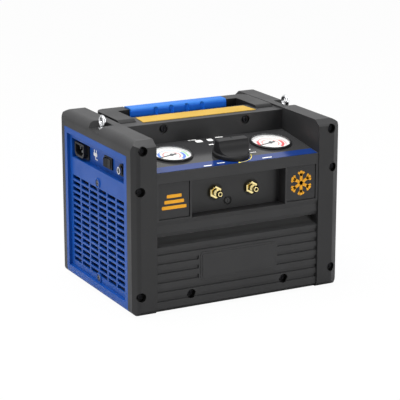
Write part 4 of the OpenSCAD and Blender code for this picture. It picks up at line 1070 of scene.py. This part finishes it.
@dataclass
class Gauge(Assembly):
    """One pressure gauge with its printed dial: a tick has a width, a length and a radius."""

    side: str
    x: float
    y: float = -69.5
    dial_top: float = -0.4
    start: float = -105.0
    end: float = 150.0
    outer: Rgb = (24, 96, 186)
    inner: Rgb = (220, 84, 84)
    extra: Rgb = (104, 184, 96)
    figures: tuple[str, ...] = ("0", "2", "4", "6", "8", "10")
    figure_r: float = 22.8
    figure_h: float = 2.8
    steps: int = 50
    steps_long: int = 5
    long_tick: Point = (0.5, 3.0, 25.2)
    short_tick: Point = (0.25, 1.6, 26.1)

    def dress(self) -> None:
        """Give the gauge's nodes their finishes."""
        centre = tuple(Panel.at(self.x, self.y).translation)
        dial = DialPrint(f"{self.side}_dial_print", centre, self.outer, self.inner, self.extra,
                         self.start, self.end)
        parts = {"case": Finish.BLACK, "dial": dial, "needle": Finish.NEEDLE, "lens": Finish.LENS}
        for part, finish in parts.items():
            self.palette.node(finish, f"{self.side}_gauge_{part}")

    def turn(self, share: float) -> float:
        """Turn of a share of the scale about the dial's Z axis, in degrees."""
        return -self.start - (self.end - self.start) * share

    def ticks(self, face: Matrix) -> Piece:
        """Make the ticks.

        Args:
            face: Frame of the dial's face.

        Returns:
            The ticks as one piece.
        """
        rows = []
        for step in range(self.steps + 1):
            width, length, radius = self.short_tick if step % self.steps_long else self.long_tick
            place = face @ spin(self.turn(step / self.steps), "Z") @ shift(0, radius, 0)
            rows.append(((width, length, INK), 0.0, place))
        return Bench.plates(f"{self.side}_ticks", rows)

    def numbers(self, face: Matrix) -> list[Piece]:
        """Make the figures.

        Args:
            face: Frame of the dial's face.

        Returns:
            The figures.
        """
        made = []
        for i, text in enumerate(self.figures):
            angle = math.radians(self.turn(i / (len(self.figures) - 1)))
            spot = shift(-math.sin(angle) * self.figure_r, math.cos(angle) * self.figure_r, INK / 2)
            made.append(Bench.seat(Bench.figures(text, self.figure_h, INK), face @ spot))
        return made

    def model(self) -> None:
        """Print the dial's ticks and figures."""
        face = Panel.at(self.x, self.y, self.dial_top)
        scale = Bench.join(f"{self.side}_gauge_scale", [self.ticks(face), *self.numbers(face)])
        self.palette.piece(scale, Finish.TICK, "needle")


@dataclass
class ControlPanel(Assembly):
    """Printed sheet and selector knob: each dash has a place, a width and a depth."""

    finishes = ((Finish.OVERLAY, "control_overlay"),
                (Finish.KNOB, "selector_knob"),
                (Finish.STEEL, "valve_spindle"))
    knob_x: float = 3.5
    knob_y: float = -97.5
    dashes: tuple[Quad, ...] = (
        (-16, -32, 11, 9), (3, -32, 9, 9), (22, -26, 13, 3), (-4, -50, 8, 3), (-24, -25, 14, 2),
        (41, -98.5, 11, 1.6), (42, -86.5, 3, 2), (-50, -125.5, 13, 2.6), (51, -123.5, 16, 2.6),
        (-26, -121.5, 13, 1.8))
    dash_round: float = 0.2
    arc_r: float = 31.0
    arc_start: float = -90.0
    arc_turn: float = 75.0
    arc_steps: int = 14
    arc_dash: Point = (1.1, 3.2, INK)
    dot: tuple[Span, ...] = ((2.0, 0.0), (1.9, INK))
    dot_sides: int = 24
    dot_x: float = -2.0

    def marks(self) -> None:
        """Print plain dashes and a blank key."""
        rows = []
        for x, y, w, d in self.dashes:
            rows.append(((w, d, INK), min(w, d) * self.dash_round, Panel.at(x, y, Panel.sheet)))
        self.palette.piece(Bench.plates("panel_dashes", rows), Finish.WHITE, "dial")

    def arc(self) -> None:
        """Print an arc round the knob, with a dot at its end."""
        middle = Panel.at(self.knob_x, self.knob_y, Panel.sheet)
        rows = []
        for i in range(self.arc_steps + 1):
            turn = spin(self.arc_start + self.arc_turn * i / self.arc_steps, "Z")
            rows.append((self.arc_dash, 0.0, middle @ turn @ shift(self.arc_r, 0, 0)))
        dashes = Bench.plates("arc_dashes", rows)
        dot = Bench.turned("arc_dot", self.dot, self.dot_sides)
        Bench.seat(dot, Panel.at(self.knob_x + self.dot_x, self.knob_y - self.arc_r, Panel.sheet))
        self.palette.piece(Bench.join("knob_arc", [dashes, dot]), Finish.LIME, "plate_yellow")

    def model(self) -> None:
        """Print the panel's marks."""
        self.marks()
        self.arc()


@dataclass
class Ports(Assembly):
    """Brass flare fittings with cut threads: outlines as radius and distance from the wall."""

    hexagon: tuple[Span, ...] = ((9.4, -1.5), (10.39, -0.9), (10.39, 4.2), (9.4, 5.0))
    hexagon_sides: int = 6
    neck: tuple[Span, ...] = ((4.4, 4.8), (4.4, 6.5))
    thread_z: Span = (6.5, 14.4)
    thread_r: float = 5.55
    thread_depth: float = 0.75
    thread_end: float = 14.9
    thread_sides: int = 48
    pitch: float = 1.27
    crest: Span = (0.45, 0.65)
    nose: tuple[Span, ...] = ((5.0, 15.0), (3.55, 17.9), (2.45, 18.0), (2.4, 8.0))
    stub: tuple[Span, ...] = ((4.5, -14.5), (4.5, -3.1), (6.0, -3.0), (6.0, 0.2))
    stub_sides: int = 32
    core: tuple[Span, ...] = ((2.35, 14.0), (2.35, 15.6), (1.6, 15.8), (1.5, 15.2), (0.7, 15.1), (0.6, 16.4))
    core_sides: int = 24
    smooth_below: float = 30.0

    def outline(self) -> list[Span]:
        """Draw the neck, the thread and the nose with its bore.

        Returns:
            The outline.
        """
        root = self.thread_r - self.thread_depth
        rise, flat = self.crest
        z, end = self.thread_z
        points = list(self.neck)
        while z < end:
            points += [(root, z), (self.thread_r, z + rise), (self.thread_r, z + flat)]
            z += self.pitch
        return points + [(root, self.thread_end), *self.nose]

    def fitting(self, name: str) -> Piece:
        """Model a fitting that points along +Z.

        Args:
            name: The piece's name.

        Returns:
            The fitting.
        """
        hexagon = Bench.turned("hexagon", self.hexagon, self.hexagon_sides)
        body = Bench.turned("thread", self.outline(), self.thread_sides)
        stub = Bench.turned("stub", self.stub, self.stub_sides)
        made = Bench.join(name, [hexagon, body, stub])
        Bench.smooth(made, self.smooth_below)
        return made

    def model(self) -> None:
        """Place both fittings over their CAD nodes, each with a dark core in its bore."""
        for node, side in (("inlet_fitting", -1), ("outlet_fitting", 1)):
            made = self.fitting(f"{node}_turned")
            core = Bench.turned(f"{node}_core", self.core, self.core_sides)
            for piece in (made, core):
                Bench.seat(piece, front(side * PORT_X, RECESS_Y, PORT_Z))
            self.palette.piece(made, Finish.BRASS, "brass")
            self.palette.piece(core, Finish.RUBBER, "trim_black")
            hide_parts(node)


@dataclass
class Electrics(Assembly):
    """Mains inlet, rocker switch and breaker: each stroke has a place, a width, a height and a corner."""

    finishes = ((Finish.BLACK, "power_inlet", "switch_body", "breaker_body"),
                (Finish.KNOB, "switch_rocker"),
                (Finish.STEEL, "inlet_pins"),
                (Finish.CHROME, "breaker_button"))
    floor_x: float = -159.5
    z: float = 207.3
    sign_y: float = 31.0
    sign_up: float = 1.0
    sign_ink: float = 0.08
    strokes: tuple[tuple[float, float, float, float, float], ...] = (
        (0.0, 0.0, 13.0, 6.0, 2.0), (-3.6, 5.0, 2.6, 4.6, 0.6), (3.6, 5.0, 2.6, 4.6, 0.6),
        (0.0, -5.0, 2.8, 4.6, 0.6), (3.6, -7.0, 10.0, 1.6, 0.6))
    button_y: float = -69.5
    button_out: float = 7.6
    button: tuple[Span, ...] = ((3.9, 0.0), (3.9, 0.25), (3.4, 0.4))
    button_sides: int = 32

    def outward(self, out: float, y: float, z: float) -> Matrix:
        """Give a frame off the pocket's floor: X to the front, Y up and Z out of the machine."""
        turn = Matrix(((0, 0, -1, 0), (-1, 0, 0, 0), (0, 1, 0, 0), (0, 0, 0, 1)))
        return shift(self.floor_x - out, y, z + FOOT) @ turn

    def plug_mark(self) -> None:
        """Print a plain plug sign beside the inlet."""
        middle = self.outward(0.0, self.sign_y, self.z + self.sign_up)
        rows = []
        for x, y, w, h, r in self.strokes:
            rows.append(((w, h, self.sign_ink), r, middle @ shift(x, y, 0)))
        self.palette.piece(Bench.plates("plug_mark", rows), Finish.WHITE, "dial")

    def button_face(self) -> None:
        """Set a grey disc in the hollow of the breaker's button."""
        disc = Bench.turned("button_face", self.button, self.button_sides)
        Bench.seat(disc, self.outward(self.button_out, self.button_y, self.z))
        self.palette.piece(disc, Finish.MOTOR, "button", "breaker_push")

    def model(self) -> None:
        """Make the sign and the button's disc."""
        self.plug_mark()
        self.button_face()


class Handle(Assembly):
    """Fold-down handle, its pins and the plate on the deck."""

    finishes = ((Finish.BLACK, "handle_frame"),
                (Finish.GRIP, "handle_grip"),
                (Finish.STEEL, "handle_pins"),
                (Finish.YELLOW, "deck_plate"))


class Inside(Assembly):
    """Compressor set, condenser, pipes and board behind the grilles."""

    finishes = ((Finish.ALLOY, "crankcase", "front_cylinder", "rear_cylinder", "valve_manifold",
                 "board_parts"),
                (Finish.MOTOR, "motor_body"),
                (Finish.STEEL, "drive_shaft", "shaft_bearings", "mounting_plate"),
                (Finish.BLACK, "cooling_fan", "fan_shroud"),
                (Finish.FINS, "condenser_fins"),
                (Finish.COPPER, "condenser_tubes", "suction_pipe", "discharge_pipe", "liquid_pipe",
                 "gauge_lines"),
                (Finish.BRASS, "pressure_switch"),
                (Finish.BOARD, "control_board"),
                (Finish.RUBBER, "rubber_isolators"))


@dataclass(frozen=True)
class Lamp:
    """A square soft lamp: its place and side in metres, and its power."""

    name: str
    place: Point
    size: float
    watts: float


@dataclass
class Studio:
    """Camera, soft lights, white background and floor, in metres and degrees."""

    azimuth: float = -27.642
    elevation: float = 15.486
    distance: float = 2.592
    target: Point = (0.0021, -0.0015, 0.1283)
    lens: float = 150.1
    sensor: float = 36.0
    fill: float = 0.15
    white: Quad = (1.0, 1.0, 1.0, 1.0)
    floor_size: float = 12.0
    floor_z: float = -0.0002
    floor_glow: float = 0.97
    floor_colour: Quad = (0.7, 0.7, 0.7, 1.0)
    floor_rough: float = 0.9
    lamps: tuple[Lamp, ...] = (
        Lamp("overhead", (-0.3, 0.0, 1.9), 1.4, 61.0),
        Lamp("front", (0.7, -2.0, 0.42), 0.7, 11.0),
        Lamp("left", (-2.1, -0.1, 0.6), 1.2, 14.0),
        Lamp("right", (2.2, 0.3, 0.7), 0.8, 12.0))

    def stand(self, name: str, data: bpy.types.ID, place: Vector) -> Piece:
        """Stand a camera or lamp in a place, facing the object.

        Args:
            name: Its name.
            data: Its camera or light data.
            place: Its place.

        Returns:
            The new object.
        """
        made = bpy.data.objects.new(name, data)
        bpy.context.scene.collection.objects.link(made)
        made.location = place
        made.rotation_mode = "QUATERNION"
        made.rotation_quaternion = (Vector(self.target) - place).to_track_quat("-Z", "Y")
        return made

    def camera(self) -> None:
        """Set the camera at the photograph's angle."""
        data = bpy.data.cameras.new("camera")
        data.lens = self.lens
        data.sensor_width = self.sensor
        a = math.radians(self.azimuth)
        e = math.radians(self.elevation)
        back = Vector((math.sin(a) * math.cos(e), -math.cos(a) * math.cos(e), math.sin(e)))
        place = Vector(self.target) + back * self.distance
        bpy.context.scene.camera = self.stand("camera", data, place)

    def light(self, lamp: Lamp) -> None:
        """Hang a lamp.

        Args:
            lamp: What to hang.
        """
        data = bpy.data.lights.new(lamp.name, "AREA")
        data.size = lamp.size
        data.energy = lamp.watts
        self.stand(lamp.name, data, Vector(lamp.place))

    def seen(self, tree: bpy.types.NodeTree) -> Socket:
        """Find the rays that see the background directly, in glass or in a mirror.

        Args:
            tree: The world's node tree.

        Returns:
            1 for such rays, 0 for others.
        """
        path = tree.nodes.new("ShaderNodeLightPath")
        total = path.outputs["Is Camera Ray"]
        for ray in ("Is Glossy Ray", "Is Transmission Ray"):
            either = tree.nodes.new("ShaderNodeMath")
            either.operation = "MAXIMUM"
            tree.links.new(total, either.inputs[0])
            tree.links.new(path.outputs[ray], either.inputs[1])
            total = either.outputs[0]
        return total

    def world(self) -> None:
        """White to look at, and a plain soft fill as a light."""
        world = bpy.data.worlds.new("studio")
        bpy.context.scene.world = world
        world.use_nodes = True
        tree = world.node_tree
        tree.nodes.clear()
        out = tree.nodes.new("ShaderNodeOutputWorld")
        mix = tree.nodes.new("ShaderNodeMixShader")
        for slot, strength in ((1, self.fill), (2, 1.0)):
            light = tree.nodes.new("ShaderNodeBackground")
            light.inputs["Color"].default_value = self.white
            light.inputs["Strength"].default_value = strength
            tree.links.new(light.outputs[0], mix.inputs[slot])
        tree.links.new(self.seen(tree), mix.inputs[0])
        tree.links.new(mix.outputs[0], out.inputs["Surface"])

    def floor(self) -> None:
        """White floor that keeps a soft shadow."""
        Bench.clear()
        bpy.ops.mesh.primitive_plane_add(size=self.floor_size, location=(0, 0, self.floor_z))
        plane = Bench.take("studio_floor")
        g = Graph("floor_white")
        glow = g.node("ShaderNodeEmission", None, {"Color": self.white, "Strength": 1.0})
        path = g.node("ShaderNodeLightPath")
        share = Value(g, path.outputs["Is Camera Ray"]) * self.floor_glow
        mix = g.node("ShaderNodeMixShader", None, {0: share, 1: g.shader.outputs[0], 2: glow.outputs[0]})
        g.link(mix.outputs[0], g.out.inputs["Surface"])
        plane.data.materials.append(g.dress(Base_Color=self.floor_colour, Roughness=self.floor_rough))

    def build(self) -> None:
        """Set up the whole studio."""
        bpy.context.scene.view_settings.view_transform = "Standard"
        self.camera()
        self.world()
        self.floor()
        for lamp in self.lamps:
            self.light(lamp)


def main() -> None:
    """Build the studio, then dress each part of the machine in order."""
    logging.basicConfig(level=logging.INFO)
    Bench.clear()
    palette = Palette()
    Studio().build()
    Casing(palette).build()
    ControlPanel(palette).build()
    Gauge(palette, "low", -81.0).build()
    Gauge(palette, "high", 88.0, outer=(196, 18, 24), inner=(222, 104, 100), extra=(226, 150, 148),
          figures=("0", "10", "20", "30", "40", "50")).build()
    Ports(palette).build()
    Electrics(palette).build()
    Handle(palette).build()
    Inside(palette).build()
    Bench.clear()


if __name__ == "__main__":
    main()
